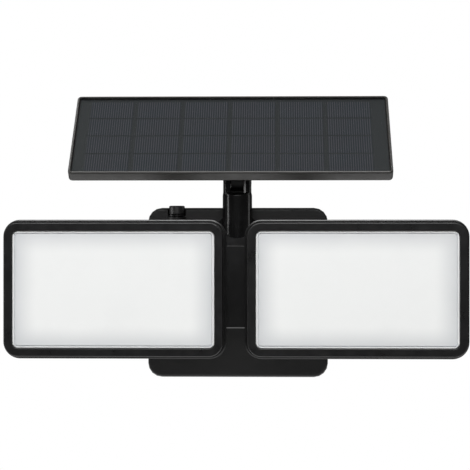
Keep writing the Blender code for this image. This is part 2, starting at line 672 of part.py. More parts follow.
def build_block(housing):
    """Moulded block: plate, sloped and shouldered hump with the mast socket, and four swivel ears."""
    back = BOX_DEPTH + FIT
    middle = (BLOCK_PLATE_TOP + BLOCK_BOTTOM) / 2
    height = BLOCK_PLATE_TOP - BLOCK_BOTTOM
    block = piece(
        "joint_block", plate(BLOCK_PLATE_WIDTH, height, BLOCK_PLATE_CORNER, back,
                             back + BLOCK_PLATE_THICK, (0.0, middle)), BLACK_PLASTIC, turn=FRONT)
    hump_back = back + BLOCK_SETBACK
    half = BLOCK_HALF_WIDTH
    top_half = BLOCK_SHOULDER - BLOCK_TOP
    foot = BLOCK_BOTTOM + BLOCK_SETBACK
    front_view = [
        (top_half, BLOCK_TOP), (-top_half, BLOCK_TOP), (-half, BLOCK_SHOULDER - half),
        (-half, foot + BLOCK_FOOT), (BLOCK_FOOT - half, foot), (half - BLOCK_FOOT, foot),
        (half, foot + BLOCK_FOOT), (half, BLOCK_SHOULDER - half)]
    slope_back = BLOCK_FRONT - (BLOCK_TOP - BLOCK_FRONT_TOP)
    side_view = [
        (hump_back - OVERRUN, BLOCK_TOP + OVERRUN), (slope_back - OVERRUN, BLOCK_TOP + OVERRUN),
        (BLOCK_FRONT, BLOCK_FRONT_TOP), (BLOCK_FRONT, foot + BLOCK_CHAMFER),
        (BLOCK_FRONT - BLOCK_CHAMFER - OVERRUN, foot - OVERRUN), (hump_back - OVERRUN, foot - OVERRUN)]
    hump = tool(prism(front_view, hump_back, BLOCK_FRONT + OVERRUN), turn=FRONT)
    combine(hump, "INTERSECT", [tool(prism(side_view, -half - OVERRUN, half + OVERRUN), turn=SIDE)])
    join(block, hump)

    ear_middle = PAN_BARREL_HEIGHT / 2 + FIT + EAR_THICK / 2
    ear = tombstone(EAR_RADIUS, PAN_OUT - back - OVERRUN, up=False)
    for side in (-1, 1):
        for level in (-1, 1):
            at = (side * PAN_X, -PAN_OUT, HEAD_Z + level * ear_middle)
            join(block, tool(prism(ear, -EAR_THICK / 2, EAR_THICK / 2), at=at))
        cut(block, bore(BOLT_RADIUS, PAN_BARREL_HEIGHT + 4 * EAR_THICK, None,
                        (side * PAN_X, -PAN_OUT, HEAD_Z), FLAT))

    hollow_front = BLOCK_FRONT - BLOCK_WALL
    hollow_low = BLOCK_BOTTOM + BLOCK_WALL + BLOCK_CHAMFER
    hollow_high = SOCKET_FLOOR - SOCKET_BASE
    cut(block,
        tool(box(2 * (half - BLOCK_WALL), hollow_front - back + OVERRUN, hollow_high - hollow_low),
             at=(0.0, -(hollow_front + back - OVERRUN) / 2, (hollow_low + hollow_high) / 2)),
        tool(cylinder(MAST_RADIUS + FIT, 2 * (BLOCK_TOP - SOCKET_FLOOR), FINE_SIDES),
             at=(0.0, -MAST_OUT, BLOCK_TOP)),
        bore(STUB_RADIUS, 2 * SOCKET_FLOOR, None, (0.0, -MAST_OUT, SOCKET_FLOOR), FLAT, ROUND_SIDES))

    seat = BOX_DEPTH - BOX_WALL
    levels = (BLOCK_BOTTOM + BLOCK_SCREW_MARGIN, BLOCK_PLATE_TOP - BLOCK_SCREW_MARGIN)
    spots = [(side * BLOCK_SCREW_X, level) for level in levels for side in (-1, 1)]
    for index, (x, z) in enumerate(spots, 1):
        pilot = bore(SCREW_RADIUS, 2 * (BLOCK_SCREW_LENGTH + FIT), None, (x, -seat, z), FRONT, TINY_SIDES)
        cut(housing, pilot)
        cut(block, pilot)
        screw(f"block_screw_{index}", BLOCK_SCREW_LENGTH, None, (x, FIT - seat, z), REAR)


# Mast, neck and panel

def build_mast():
    """Turned post in the block's socket, with its fork and the washer and nut that hold it."""
    swivel = axis_empty("mast_axis", (0.0, -MAST_OUT, 0.0))
    foot = SOCKET_FLOOR + FIT
    shoulder = PIVOT_HEIGHT - FORK_RUN
    points = [
        (0.0, shoulder), (MAST_RADIUS - MAST_CHAMFER, shoulder), (MAST_RADIUS, shoulder - MAST_CHAMFER),
        (MAST_RADIUS, foot + EDGE_BREAK), (MAST_RADIUS - EDGE_BREAK, foot), (STUB_RADIUS, foot),
        (STUB_RADIUS, foot - STUB_LENGTH), (0.0, foot - STUB_LENGTH)]
    post = turned(piece("mast_post", profile(points), BLACK_PLASTIC, swivel), FINE_SIDES)
    build_fork(post, swivel, shoulder)

    washer_top = SOCKET_FLOOR - SOCKET_BASE - FIT
    washer_low = washer_top - WASHER_THICK
    inner = STUB_RADIUS + FIT
    flat_ring = [(inner, washer_top), (WASHER_RADIUS, washer_top), (WASHER_RADIUS, washer_low),
                 (inner, washer_low)]
    turned(piece("mast_washer", profile(flat_ring, closed=True), STEEL, swivel), SMALL_SIDES)
    nut("mast_nut", MAST_NUT_RADIUS, MAST_NUT_HEIGHT, STUB_RADIUS, swivel,
        (0.0, 0.0, washer_low - FIT - MAST_NUT_HEIGHT / 2), FLAT)
    return swivel


def build_fork(post, swivel, shoulder):
    """Fork that grows from the round post into a rounded square, with its tilt bolt and nut."""
    pivot = (0.0, 0.0, PIVOT_HEIGHT)
    stub = MAST_RADIUS - OVERRUN / 2
    square = rounded(FORK_WIDTH, FORK_DEPTH, FORK_CORNER)
    top = PIVOT_HEIGHT + FORK_DEPTH
    join(post, tool(loft([
        (rounded(2 * stub, 2 * stub, stub - SLOPE), shoulder - OVERRUN), (square, shoulder + FORK_BLEND),
        (square, top)]), swivel))

    reach = 2 * FORK_DEPTH
    round_top = FORK_DEPTH / 2 + SLOPE
    over = [(round_top * math.cos(angle), round_top * math.sin(angle)) for angle in
            (math.pi * (1 - step / ROUND_SIDES) for step in range(ROUND_SIDES + 1))]
    beyond = [(-reach, 0.0), *over, (reach, 0.0), (reach, reach), (-reach, reach)]
    slot_low = PIVOT_HEIGHT - TONGUE_END - FORK_SLOT_RUN
    cut(post,
        tool(prism(beyond, -FORK_WIDTH, FORK_WIDTH), swivel, pivot, SIDE),
        tool(box(TONGUE_WIDTH + 2 * FIT, reach, top - slot_low + OVERRUN), swivel,
             (0.0, 0.0, (top + slot_low + OVERRUN) / 2)),
        bore(BOLT_RADIUS, 2 * FORK_WIDTH, swivel, pivot, ALONG_X))
    for side, radius in ((-1, BOLT_HEAD_RADIUS), (1, NUT_RADIUS)):
        at = (side * FORK_WIDTH / 2, 0.0, PIVOT_HEIGHT)
        cut(post, bore(radius, 2 * BOLT_RECESS, swivel, at, ALONG_X))
    seat = FORK_WIDTH / 2 - BOLT_RECESS + FIT
    bolt("panel_tilt_bolt", 2 * seat + NUT_HEIGHT - FIT, swivel, (-seat, 0.0, PIVOT_HEIGHT), AGAINST_X)
    nut("panel_tilt_nut", NUT_RADIUS, NUT_HEIGHT, BOLT_RADIUS, swivel,
        (seat + NUT_HEIGHT / 2, 0.0, PIVOT_HEIGHT), ALONG_X)


def build_neck(hinge, plane):
    """Tongue that swings in the fork, with a gusset on each side, under a flange on the panel's back."""
    half = TONGUE_WIDTH / 2
    rise = PANEL_RISE + TONGUE_END * math.tan(PANEL_TILT) + OVERRUN
    tongue = prism(tombstone(TONGUE_END, rise, up=False), -half, half)
    neck = piece("panel_neck", tongue, BLACK_PLASTIC, hinge, turn=SIDE)
    low = FORK_DEPTH / 2 + GUSSET_GAP
    wide = half + GUSSET_REACH
    gussets = [(wide, PANEL_RISE), (-wide, PANEL_RISE), (-half, low), (half, low)]
    join(neck, tool(prism(gussets, -GUSSET_THICK / 2, GUSSET_THICK / 2), hinge, turn=FRONT))
    flange_back = -FIT - FLANGE_THICK
    above = box(FLANGE_WIDTH, 2 * rise, rise)
    above.transform(Matrix.Translation((0.0, 0.0, rise / 2 - FIT - FLANGE_THICK / 2)))
    cut(neck, tool(above, plane, (-PANEL_SHIFT, 0.0, 0.0)))
    join(neck, tool(plate(FLANGE_WIDTH, FLANGE_HEIGHT, FLANGE_CORNER, flange_back, -FIT), plane,
                    (-PANEL_SHIFT, 0.0, 0.0)))
    cut(neck, bore(BOLT_RADIUS, 2 * TONGUE_WIDTH, hinge, (0.0, 0.0, 0.0), ALONG_X))

    pilots = []
    for index, side in enumerate((-1, 1), 1):
        x = side * (FLANGE_WIDTH / 2 - FLANGE_SCREW_INSET) - PANEL_SHIFT
        pilot = bore(SCREW_RADIUS, 2 * (FLANGE_SCREW_LENGTH + FIT), plane, (x, 0.0, flange_back), FLAT,
                     TINY_SIDES)
        cut(neck, pilot)
        pilots.append(pilot)
        screw(f"neck_screw_{index}", FLANGE_SCREW_LENGTH, plane, (x, 0.0, flange_back - FIT), UNDER)
    return pilots


def build_panel(mast_axis):
    """Tray, cell sheet and glass, stacked along the normal of the tilted panel plane."""
    hinge = axis_empty("panel_tilt_axis", (0.0, 0.0, PIVOT_HEIGHT), mast_axis)
    plane = axis_empty("panel_plane", (PANEL_SHIFT, 0.0, PANEL_RISE), hinge, (PANEL_TILT, 0.0, 0.0))
    size = (PANEL_WIDTH, PANEL_HEIGHT, PANEL_CORNER)

    def inset(amount):
        return rounded(size[0] - 2 * amount, size[1] - 2 * amount, max(size[2] - amount, PANEL_EDGE))

    glass_low = PANEL_THICK - GLASS_RECESS - GLASS_THICK
    sheet_low = glass_low - FIT - SOLAR_RISE - SHEET_THICK
    shelf = sheet_low - FIT
    sections = [(inset(PANEL_BACK_EDGE), 0.0), (inset(0.0), PANEL_BACK_EDGE)]
    sections += quarter_round(*size, PANEL_EDGE, PANEL_THICK)
    sections += [
        (inset(TRAY_RIM), PANEL_THICK), (inset(TRAY_RIM), shelf), (inset(TRAY_RIM + TRAY_SHELF), shelf),
        (inset(TRAY_RIM + TRAY_SHELF), TRAY_FLOOR)]
    tray = piece("panel_tray", loft(sections), BLACK_PLASTIC, plane)
    cut(tray, *build_neck(hinge, plane))
    pane = TRAY_RIM + FIT
    width = size[0] - 2 * (TRAY_RIM + SHEET_MARGIN)
    height = size[1] - 2 * (TRAY_RIM + SHEET_MARGIN)
    pitch = ((size[0] - SOLAR_LEFT - SOLAR_RIGHT) / SOLAR_COLUMNS,
             (size[1] - SOLAR_TOP - SOLAR_BOTTOM) / SOLAR_ROWS)
    grid_middle = ((SOLAR_LEFT - SOLAR_RIGHT) / 2, (SOLAR_BOTTOM - SOLAR_TOP) / 2)
    sheet = studded(width, height, SHEET_THICK, SOLAR_COLUMNS, SOLAR_ROWS, pitch, SOLAR_GAP, SOLAR_RISE,
                    grid_middle)
    piece("solar_cells", sheet, SILICON, plane, (0.0, 0.0, sheet_low + SHEET_THICK / 2))
    piece("panel_glass", loft([(inset(pane), glass_low), (inset(pane), glass_low + GLASS_THICK)]),
          CLEAR_GLASS, plane)


# Swivels and lamp heads

def build_swivel(label, side):
    """Knuckle with an upright and a level barrel, and the bolt and nut that hold it in the ears."""
    pan = axis_empty(label + "_pan_axis", (side * PAN_X, -PAN_OUT, HEAD_Z))
    reach = TILT_OUT - PAN_OUT
    knuckle = piece(label + "_knuckle", cylinder(PAN_BARREL_RADIUS, PAN_BARREL_HEIGHT), BLACK_PLASTIC, pan)
    at = (0.0, -reach, 0.0)
    join(knuckle,
         tool(box(LINK_WIDTH, reach, LINK_HEIGHT), pan, (0.0, -reach / 2, 0.0)),
         tool(cylinder(TILT_BARREL_RADIUS, TILT_BARREL_WIDTH), pan, at, ALONG_X))
    cut(knuckle,
        bore(BOLT_RADIUS, 2 * PAN_BARREL_HEIGHT, pan, (0.0, 0.0, 0.0), FLAT),
        bore(BOLT_RADIUS, 2 * TILT_BARREL_WIDTH, pan, at, ALONG_X))
    seat = PAN_BARREL_HEIGHT / 2 + EAR_THICK + 2 * FIT
    axis = (side * PAN_X, -PAN_OUT)
    bolt(label + "_pan_bolt", 2 * seat + NUT_HEIGHT + BOLT_TAIL, None, (*axis, HEAD_Z + seat), FLAT)
    nut(label + "_pan_nut", NUT_RADIUS, NUT_HEIGHT, BOLT_RADIUS, None,
        (*axis, HEAD_Z - seat - NUT_HEIGHT / 2), FLAT)
    return axis_empty(label + "_tilt_axis", at, pan)


def build_head(label, side):
    """Lamp head drawn from its tilt axis: depths are distances in front of that axis."""
    hinge = build_swivel(label, side)
    shift = side * (HEAD_X - PAN_X)
    middle = (shift, 0.0, 0.0)
    front = HEAD_REAR + HEAD_DEPTH
    joint = front - BEZEL_DEPTH - FIT
    skirt = (HEAD_WIDTH - 2 * BEZEL_SKIRT, HEAD_HEIGHT - 2 * BEZEL_SKIRT, SKIRT_CORNER)
    spigot = (skirt[0] - 2 * FIT, skirt[1] - 2 * FIT, SKIRT_CORNER - FIT)
    lip_back = front - BEZEL_LIP
    flange_top = lip_back - FIT
    flange_low = flange_top - LENS_FLANGE
    seal_low = flange_low - FIT - SEAL_THICK
    spigot_top = seal_low - FIT
    shell = build_shell(label, hinge, shift, joint, spigot, spigot_top)

    opening = [HEAD_WIDTH - 2 * BEZEL_WIDTH, HEAD_HEIGHT - 2 * BEZEL_WIDTH, HEAD_CORNER - BEZEL_WIDTH]
    sections = [(rounded(HEAD_WIDTH, HEAD_HEIGHT, HEAD_CORNER), joint + FIT)]
    sections += quarter_round(HEAD_WIDTH, HEAD_HEIGHT, HEAD_CORNER, BEZEL_EDGE, front)
    sections += [
        (rounded(opening[0] + EDGE_BREAK, opening[1] + EDGE_BREAK, opening[2] + EDGE_BREAK / 2), front),
        (rounded(*opening), front - EDGE_BREAK), (rounded(*opening), lip_back),
        (rounded(*skirt), lip_back), (rounded(*skirt), joint + FIT)]
    bezel = piece(label + "_bezel", loft(sections, ring=True), BLACK_PLASTIC, hinge, middle, FRONT)

    crown = front - LENS_RECESS

    def within(amount):
        gap = 2 * (FIT + amount)
        return rounded(opening[0] - gap, opening[1] - gap, max(opening[2] - gap / 2, EDGE_BREAK))

    sections = [
        (rounded(*spigot), flange_low), (rounded(*spigot), flange_top), (within(0.0), flange_top),
        (within(0.0), crown - LENS_EDGE), (within(LENS_EDGE), crown), (within(LENS_BORDER), crown),
        (within(LENS_BORDER + LENS_GROOVE), crown - LENS_GROOVE),
        (within(LENS_BORDER + 2 * LENS_GROOVE), crown)]
    piece(label + "_lens", loft(sections), MILKY_PLASTIC, hinge, middle, FRONT)
    wide = rounded(*spigot)
    narrow = rounded(spigot[0] - 2 * SEAL_WIDTH, spigot[1] - 2 * SEAL_WIDTH, spigot[2] - SEAL_WIDTH)
    seal_high = seal_low + SEAL_THICK
    seal = loft([(wide, seal_low), (wide, seal_high), (narrow, seal_high), (narrow, seal_low)], ring=True)
    piece(label + "_lens_seal", seal, BLACK_RUBBER, hinge, middle, FRONT)

    seat = joint - HEAD_SCREW_SEAT
    screw_x = HEAD_WIDTH / 2 - HEAD_SCREW_INSET
    screw_z = HEAD_HEIGHT / 2 - HEAD_SCREW_INSET
    corners = [(x, z) for x in (-screw_x, screw_x) for z in (-screw_z, screw_z)]
    for index, (x, z) in enumerate(corners, 1):
        at = (shift + x, -seat, z)
        pilot = bore(SCREW_RADIUS, 2 * (HEAD_SCREW_LENGTH + FIT), hinge, at, FRONT, TINY_SIDES)
        pocket = seat - HEAD_REAR + OVERRUN
        cut(shell, bore(SCREW_HEAD_RADIUS, pocket, hinge, (at[0], pocket / 2 - seat, z), FRONT), pilot)
        cut(bezel, pilot)
        screw(f"{label}_head_screw_{index}", HEAD_SCREW_LENGTH, hinge, (at[0], FIT - seat, z), REAR)

    lug_outer = TILT_BARREL_WIDTH / 2 + LUG_THICK + 2 * FIT
    bolt(label + "_tilt_bolt", 2 * lug_outer + NUT_HEIGHT + BOLT_TAIL, hinge,
         (side * lug_outer, 0.0, 0.0), ALONG_X if side > 0 else AGAINST_X)
    nut(label + "_tilt_nut", NUT_RADIUS, NUT_HEIGHT, BOLT_RADIUS, hinge,
        (-side * (lug_outer + NUT_HEIGHT / 2), 0.0, 0.0), ALONG_X)


def build_shell(label, hinge, shift, joint, spigot, spigot_top):
    """Rear shell with its beaded flange and spigot, board posts, heat ribs and the two hinge lugs."""
    middle = (shift, 0.0, 0.0)
    wide = (HEAD_WIDTH + 2 * SHELL_STEP, HEAD_HEIGHT + 2 * SHELL_STEP, HEAD_CORNER + SHELL_STEP)
    rear = (wide[0] - 2 * SHELL_TAPER, wide[1] - 2 * SHELL_TAPER, wide[2])
    edge = SHELL_REAR_EDGE
    cavity = (spigot[0] - 2 * SPIGOT_WALL, spigot[1] - 2 * SPIGOT_WALL, spigot[2] - SPIGOT_WALL)
    deep = (cavity[0] - 2 * CAVITY_TAPER, cavity[1] - 2 * CAVITY_TAPER, cavity[2])
    floor = HEAD_REAR + SHELL_WALL
    waist = joint - SHELL_FLANGE
    bead = rounded(wide[0] - 2 * RIM_BEAD, wide[1] - 2 * RIM_BEAD, wide[2] - RIM_BEAD)
    seat = rounded(HEAD_WIDTH, HEAD_HEIGHT, HEAD_CORNER)
    sections = [
        (rounded(rear[0] - 2 * edge, rear[1] - 2 * edge, rear[2] - edge), HEAD_REAR),
        (rounded(*rear), HEAD_REAR + edge), (rounded(*wide), waist),
        (rounded(*wide), joint - EDGE_BREAK),
        (rounded(wide[0] - 2 * EDGE_BREAK, wide[1] - 2 * EDGE_BREAK, wide[2] - EDGE_BREAK), joint),
        (bead, joint), (bead, joint - RIM_GROOVE), (seat, joint - RIM_GROOVE), (seat, joint),
        (rounded(*spigot), joint), (rounded(*spigot), spigot_top), (rounded(*cavity), spigot_top),
        (rounded(*cavity), waist), (rounded(*deep), floor)]
    shell = piece(label + "_shell", loft(sections), BLACK_PLASTIC, hinge, middle, FRONT)

    board_low = waist + FIT
    post_length = board_low - FIT - floor + OVERRUN
    board_width = cavity[0] - 2 * LED_BOARD_MARGIN
    board_height = cavity[1] - 2 * LED_BOARD_MARGIN
    post_x = board_width / 2 - LED_POST_INSET
    post_z = board_height / 2 - LED_POST_INSET
    for x in (-post_x, post_x):
        for z in (-post_z, post_z):
            at = (shift + x, OVERRUN - floor - post_length / 2, z)
            join(shell, tool(cylinder(LED_POST_RADIUS, post_length, TINY_SIDES), hinge, at, FRONT))
    pitch = min(board_width / LED_COLUMNS, board_height / LED_ROWS) - LED_RISE
    board = studded(board_width, board_height, LED_BOARD_THICK, LED_COLUMNS, LED_ROWS, (pitch, pitch),
                    pitch - LED_SIZE, LED_RISE)
    piece(label + "_led_board", board, BOARD_WHITE, hinge,
          (shift, -board_low - LED_BOARD_THICK / 2, 0.0), FRONT)

    for index in range(RIB_COUNT):
        x = shift + math.copysign(1.0, shift) * (RIB_FIRST + index * RIB_PITCH)
        at = (x, (RIB_RISE - OVERRUN) / 2 - HEAD_REAR, 0.0)
        join(shell, tool(box(RIB_WIDTH, RIB_RISE + OVERRUN, RIB_HEIGHT), hinge, at))

    lug = [(-y, x) for x, y in tombstone(LUG_RADIUS, HEAD_REAR + OVERRUN)]
    lug_middle = TILT_BARREL_WIDTH / 2 + FIT + LUG_THICK / 2
    for end in (-1, 1):
        at = (end * lug_middle, 0.0, 0.0)
        join(shell, tool(prism(lug, -LUG_THICK / 2, LUG_THICK / 2), hinge, at, SIDE))
    cut(shell, bore(BOLT_RADIUS, 4 * lug_middle, hinge, (0.0, 0.0, 0.0), ALONG_X))
    return shell


clear_scene()
PARTS = new_collection("solar_flood_light")
TOOLS = new_collection("cutters")
build_block(build_box())
build_panel(build_mast())
build_head("left", -1)
build_head("right", 1)
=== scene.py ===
"""Looks of a solar flood light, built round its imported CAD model. Metres, +Z up, the light faces -Y."""
import json
import math

import bmesh
import bpy
from mathutils import Matrix, Vector

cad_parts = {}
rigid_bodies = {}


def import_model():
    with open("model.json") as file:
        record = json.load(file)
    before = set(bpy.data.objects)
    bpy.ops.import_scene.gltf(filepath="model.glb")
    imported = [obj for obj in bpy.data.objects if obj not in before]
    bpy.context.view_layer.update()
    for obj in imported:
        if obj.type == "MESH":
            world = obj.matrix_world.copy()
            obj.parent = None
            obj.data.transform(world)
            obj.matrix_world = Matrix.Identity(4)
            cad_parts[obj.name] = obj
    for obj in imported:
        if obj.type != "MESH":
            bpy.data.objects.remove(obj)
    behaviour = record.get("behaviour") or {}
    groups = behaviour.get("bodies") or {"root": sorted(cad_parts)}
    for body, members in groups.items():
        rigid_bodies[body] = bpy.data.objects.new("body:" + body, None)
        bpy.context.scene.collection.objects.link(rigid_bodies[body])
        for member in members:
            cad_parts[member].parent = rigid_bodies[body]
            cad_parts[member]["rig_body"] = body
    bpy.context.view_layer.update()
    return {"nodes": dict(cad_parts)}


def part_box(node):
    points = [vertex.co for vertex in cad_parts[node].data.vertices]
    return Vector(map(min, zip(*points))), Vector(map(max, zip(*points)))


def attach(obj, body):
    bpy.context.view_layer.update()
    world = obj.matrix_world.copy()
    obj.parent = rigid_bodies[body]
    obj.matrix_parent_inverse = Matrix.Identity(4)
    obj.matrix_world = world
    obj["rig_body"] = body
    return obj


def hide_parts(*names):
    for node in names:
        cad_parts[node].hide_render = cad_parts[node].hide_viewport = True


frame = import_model()
SCENE = bpy.context.scene
SIDES = {"left": -1, "right": 1}

# Fineness of the meshes
CORNER_STEPS = 12
EDGE_STEPS = 5
ROUND_SIDES = 64
SMALL_SIDES = 32
HEX_SIDES = 6
FLOOR_SIDES = 96
BEVEL_SEGMENTS = 2
BEVEL_PROFILE = 0.5
BEVEL_SAMPLES = 6
QUARTER = math.radians(90)
UPRIGHT = Matrix(((0, 0, 1, 0), (1, 0, 0, 0), (0, 1, 0, 0), (0, 0, 0, 1)))
WELD_DISTANCE = 0.00002
FLAT_ANGLE = math.radians(0.5)
SHARP_ANGLE = math.radians(35)
OVERRUN = 0.002
FIT = 0.0003

# Lamp heads
HEAD_CORNER = 0.0113
HEAD_DEPTH = 0.0300
BEZEL_WIDTH = 0.0066
BEZEL_EDGE = 0.0008
BEZEL_LIP = 0.0025
BEZEL_SKIRT = 0.0026
SKIRT_CORNER = 0.0160
INNER_EDGE = 0.0005
SHELL_STEP = 0.0025
RIM_BEAD = 0.0012
RIM_GROOVE = 0.0010
SHELL_FLANGE = 0.0060
SHELL_TAPER = 0.0155
SHELL_EDGE = 0.0002
BEAD_FALL = 0.0005
SHELL_REAR_EDGE = 0.0020
SHELL_WALL = 0.0035
SPIGOT_WALL = 0.0027
CAVITY_TAPER = 0.0120
LENS_FLANGE = 0.0016
LENS_RECESS = 0.0011
LENS_EDGE = 0.0006
LENS_BORDER = 0.0012
LENS_GROOVE = 0.0005
LENS_GROOVE_DEPTH = 0.0010
SEAL_THICK = 0.0010
SCREW_INSET = 0.0053
SCREW_SEAT = 0.0030
POCKET_RADIUS = 0.0031
RIB_COUNT = 6
RIB_PITCH = 0.0115
RIB_FIRST = -0.0080
RIB_WIDTH = 0.0022
RIB_HEIGHT = 0.0600
RIB_RISE = 0.0016
RIB_EDGE = 0.0006
LUG_RADIUS = 0.0080
LUG_THICK = 0.0060
LUG_EDGE = 0.0008
LUG_INNER = 0.0093
HEAD_REAR = 0.0080
BOLT_RADIUS = 0.0025

# Solar panel
PANEL_CORNER = 0.0035
PANEL_EDGE = 0.0015
PANEL_BACK_EDGE = 0.0020
PANEL_THICK = 0.0104
TRAY_RIM = 0.0021
TRAY_FLOOR = 0.0025
TRAY_SHELF = 0.0040
SHELF_LEVEL = 0.0065
GLASS_EDGE = 0.0003
SOLAR_COLUMNS = 6
SOLAR_ROWS = 4
SOLAR_LEFT = 0.0109
SOLAR_RIGHT = 0.0140
SOLAR_TOP = 0.0052
SOLAR_BOTTOM = 0.0031
SOLAR_COLUMN_GAP = 0.0042
SOLAR_ROW_GAP = 0.0015
FINGER_PITCH = 0.00194
FINGER_WIDTH = 0.00055

# Fasteners, with shares of a head's radius and height
SCREW_COUNT = 4
SCREW_HEAD_HEIGHT = 0.0018
SCREW_SHANK = 0.0014
BOLT_HEAD_HEIGHT = 0.0033
RECESS_SHARE = 0.55
SCREW_PROFILE = ((0.55, 0.06), (0.8, 0.22), (0.95, 0.5), (1.0, 0.8), (1.0, 1.0))
CROSS_LENGTH = 1.1
CROSS_WIDTH = 0.24
HEAD_ROUND = 0.7
NUT_REACH = 1.02
NUT_CHAMFER = 0.2
EDGE_BREAK = 0.0004

# Button
BUTTON_SKIRT = 0.0070
BUTTON_EDGE = 0.0012
BUTTON_DISH = 0.0003
DISH_RING = (0.5, 0.75)
CAP_GROWTH = 0.0010
COLLAR_WIDTH = 0.0005
COLLAR_RISE = 0.0004
STEM_RADIUS = 0.0020
STEM_BACK = 0.0037

# Block, mast and fork
BLOCK_SETBACK = 0.0005
BLOCK_CHAMFER = 0.0030
BLOCK_EDGE = 0.0009
MAST_RADIUS = 0.0125
FORK_WIDTH = 0.0238
FORK_DEPTH = 0.0190
FORK_CORNER = 0.0046
FORK_BLEND = 0.0034
FORK_RUN = 0.0128
FORK_SLOT = 0.0111
SLOT_RUN = 0.0105
SLOT_EDGE = 0.0014
SLOT_FLARE = 0.0018
TONGUE_END = 0.0087
BACK_WALL_DROP = 0.0056
BLEND_STEPS = 8
SOCKET_FLOOR = 0.0240
STUB_RADIUS = 0.0047
BOLT_HEAD_RADIUS = 0.0043
NUT_RADIUS = 0.0046
BOLT_RECESS = 0.0038

# Stage
FLOOR_LEVEL = -0.70
FLOOR_RADIUS = 2.9
CAMERA_PLACE = (0.0335, -1.318, 0.0494)
CAMERA_AIM = (0.0, -0.118, 0.0494)
CAMERA_LENS = 114.9
CAMERA_SENSOR = 36.0
WORLD_LOW = 0.06
WORLD_HIGH = 0.22
WORLD_RISE = (-0.2, 1.0)
WORLD_BEHIND = (0.955, 0.985)
FLOOR_FADE = (0.9, 2.4)
FLOOR_ROUGHNESS = 0.8
LAMP_TARGET = (0.0, -0.08, 0.05)

# Rounded edges of pieces copied from their CAD node
KNUCKLE_EDGE = 0.0005
NECK_EDGE = 0.0006
NECK_SEGMENTS = 3
HOUSING_EDGE = 0.0004
COVER_EDGE = 0.0003
BLOCK_ROUND = 0.0003

# Colours, linear
BLACK = (0.0040, 0.0040, 0.0042)
BOX_BLACK = (0.0100, 0.0100, 0.0102)
TRAY_BLACK = (0.0200, 0.0190, 0.0170)
RUBBER_BLACK = (0.0080, 0.0080, 0.0080)
LENS_COLOUR = (0.88, 0.89, 0.885)
# Painted shade: the grey the lens is given towards its border, where less light from inside reaches
LENS_BORDER_PAINTED_SHADE = (0.635, 0.65, 0.665)
CELL_COOL = (0.0120, 0.0170, 0.0220)
CELL_WARM = (0.0150, 0.0175, 0.0220)
GAP_COLOUR = (0.0150, 0.0185, 0.0195)
FINGER_COLOUR = (0.0780, 0.0810, 0.0910)
GLASS_COLOUR = (0.020, 0.022, 0.024)
GLASS_ALPHA = 0.10
STEEL_GREY = (0.50, 0.50, 0.51)
STEEL_BLACK = (0.060, 0.060, 0.064)
BOARD_GREEN = (0.016, 0.10, 0.045)
TRACK_GREEN = (0.05, 0.20, 0.09)
BOARD_WHITE = (0.74, 0.74, 0.72)
TRACK_WHITE = (0.80, 0.80, 0.78)
WRAP_BLUE = (0.030, 0.085, 0.240)
FLOOR_WARM = (0.86, 0.855, 0.84)
FLOOR_PALE = (0.90, 0.895, 0.88)
WHITE = (1.0, 1.0, 1.0)

# Surface detail
MOULD_ROUNDING = 0.0004
MARK_GAIN = 1.25
MARK_LIFT = 0.0006
METAL_SHADE = 0.75
# Painted shade on the lens: share of its width and height over which it greys towards the border
LENS_SHADE_FADE = {0: 0.30, 2: 0.46}
LENS_ROUGHNESS = 0.38
LINE_BLUR = 0.006
FINGER_BLUR = 0.04
GLASS_IOR = 1.5
GLASS_DUST = 0.03


# Meshes

def outline(width, height, radius):
    """Points of a rounded rectangle round the origin, anticlockwise."""
    points = []
    for quarter, (side, level) in enumerate(((1, 1), (-1, 1), (-1, -1), (1, -1))):
        for step in range(CORNER_STEPS + 1):
            angle = QUARTER * (quarter + step / CORNER_STEPS)
            points.append((side * (width / 2 - radius) + radius * math.cos(angle),
                           level * (height / 2 - radius) + radius * math.sin(angle)))
    return points


def arc(size):
    """Pairs along a quarter circle: one runs from nothing to size, the other from size to nothing."""
    for step in range(EDGE_STEPS + 1):
        angle = QUARTER * step / EDGE_STEPS
        yield size * (1 - math.cos(angle)), size * (1 - math.sin(angle))


def finished(bm):
    bmesh.ops.recalc_face_normals(bm, faces=bm.faces)
    mesh = bpy.data.meshes.new("mesh")
    bm.to_mesh(mesh)
    bm.free()
    mesh.shade_smooth()
    mesh.set_sharp_from_angle(angle=SHARP_ANGLE)
    return mesh


def loft(sections, ring=False):
    """Skin over sections of equally many points, each (points, level). A ring has no end faces."""
    bm = bmesh.new()
    loops = [[bm.verts.new((x, y, level)) for x, y in points] for points, level in sections]
    pairs = list(zip(loops, loops[1:]))
    if ring:
        pairs.append((loops[-1], loops[0]))
    else:
        bm.faces.new(loops[0])
        bm.faces.new(loops[-1])
    for first, second in pairs:
        for index, vertex in enumerate(first):
            bm.faces.new((first[index - 1], vertex, second[index], second[index - 1]))
    return finished(bm)


def turned(points, sides=ROUND_SIDES):
    """Solid of revolution round Z from (radius, level) points that start and end on the axis."""
    bm = bmesh.new()
    line = [bm.verts.new((radius, 0.0, level)) for radius, level in points]
    edges = [bm.edges.new(pair) for pair in zip(line, line[1:])]
    bmesh.ops.spin(bm, geom=line + edges, cent=(0, 0, 0), axis=(0, 0, 1), angle=math.tau, steps=sides,
                   use_merge=True)
    bmesh.ops.remove_doubles(bm, verts=bm.verts, dist=WELD_DISTANCE)
    return finished(bm)


def round_edge(radius, level, size):
    """Profile points of a rounded upper edge, from the flat top out and down to the side."""
    return [(radius - inset, level - fall) for fall, inset in arc(size)]


def block(width, depth, height, edge=0.0):
    bm = bmesh.new()
    bmesh.ops.create_cube(bm, size=1.0, matrix=Matrix.Diagonal((width, depth, height, 1.0)))
    if edge:
        bmesh.ops.bevel(bm, geom=bm.edges[:], offset=edge, segments=BEVEL_SEGMENTS, profile=BEVEL_PROFILE,
                        affect="EDGES")
    return finished(bm)


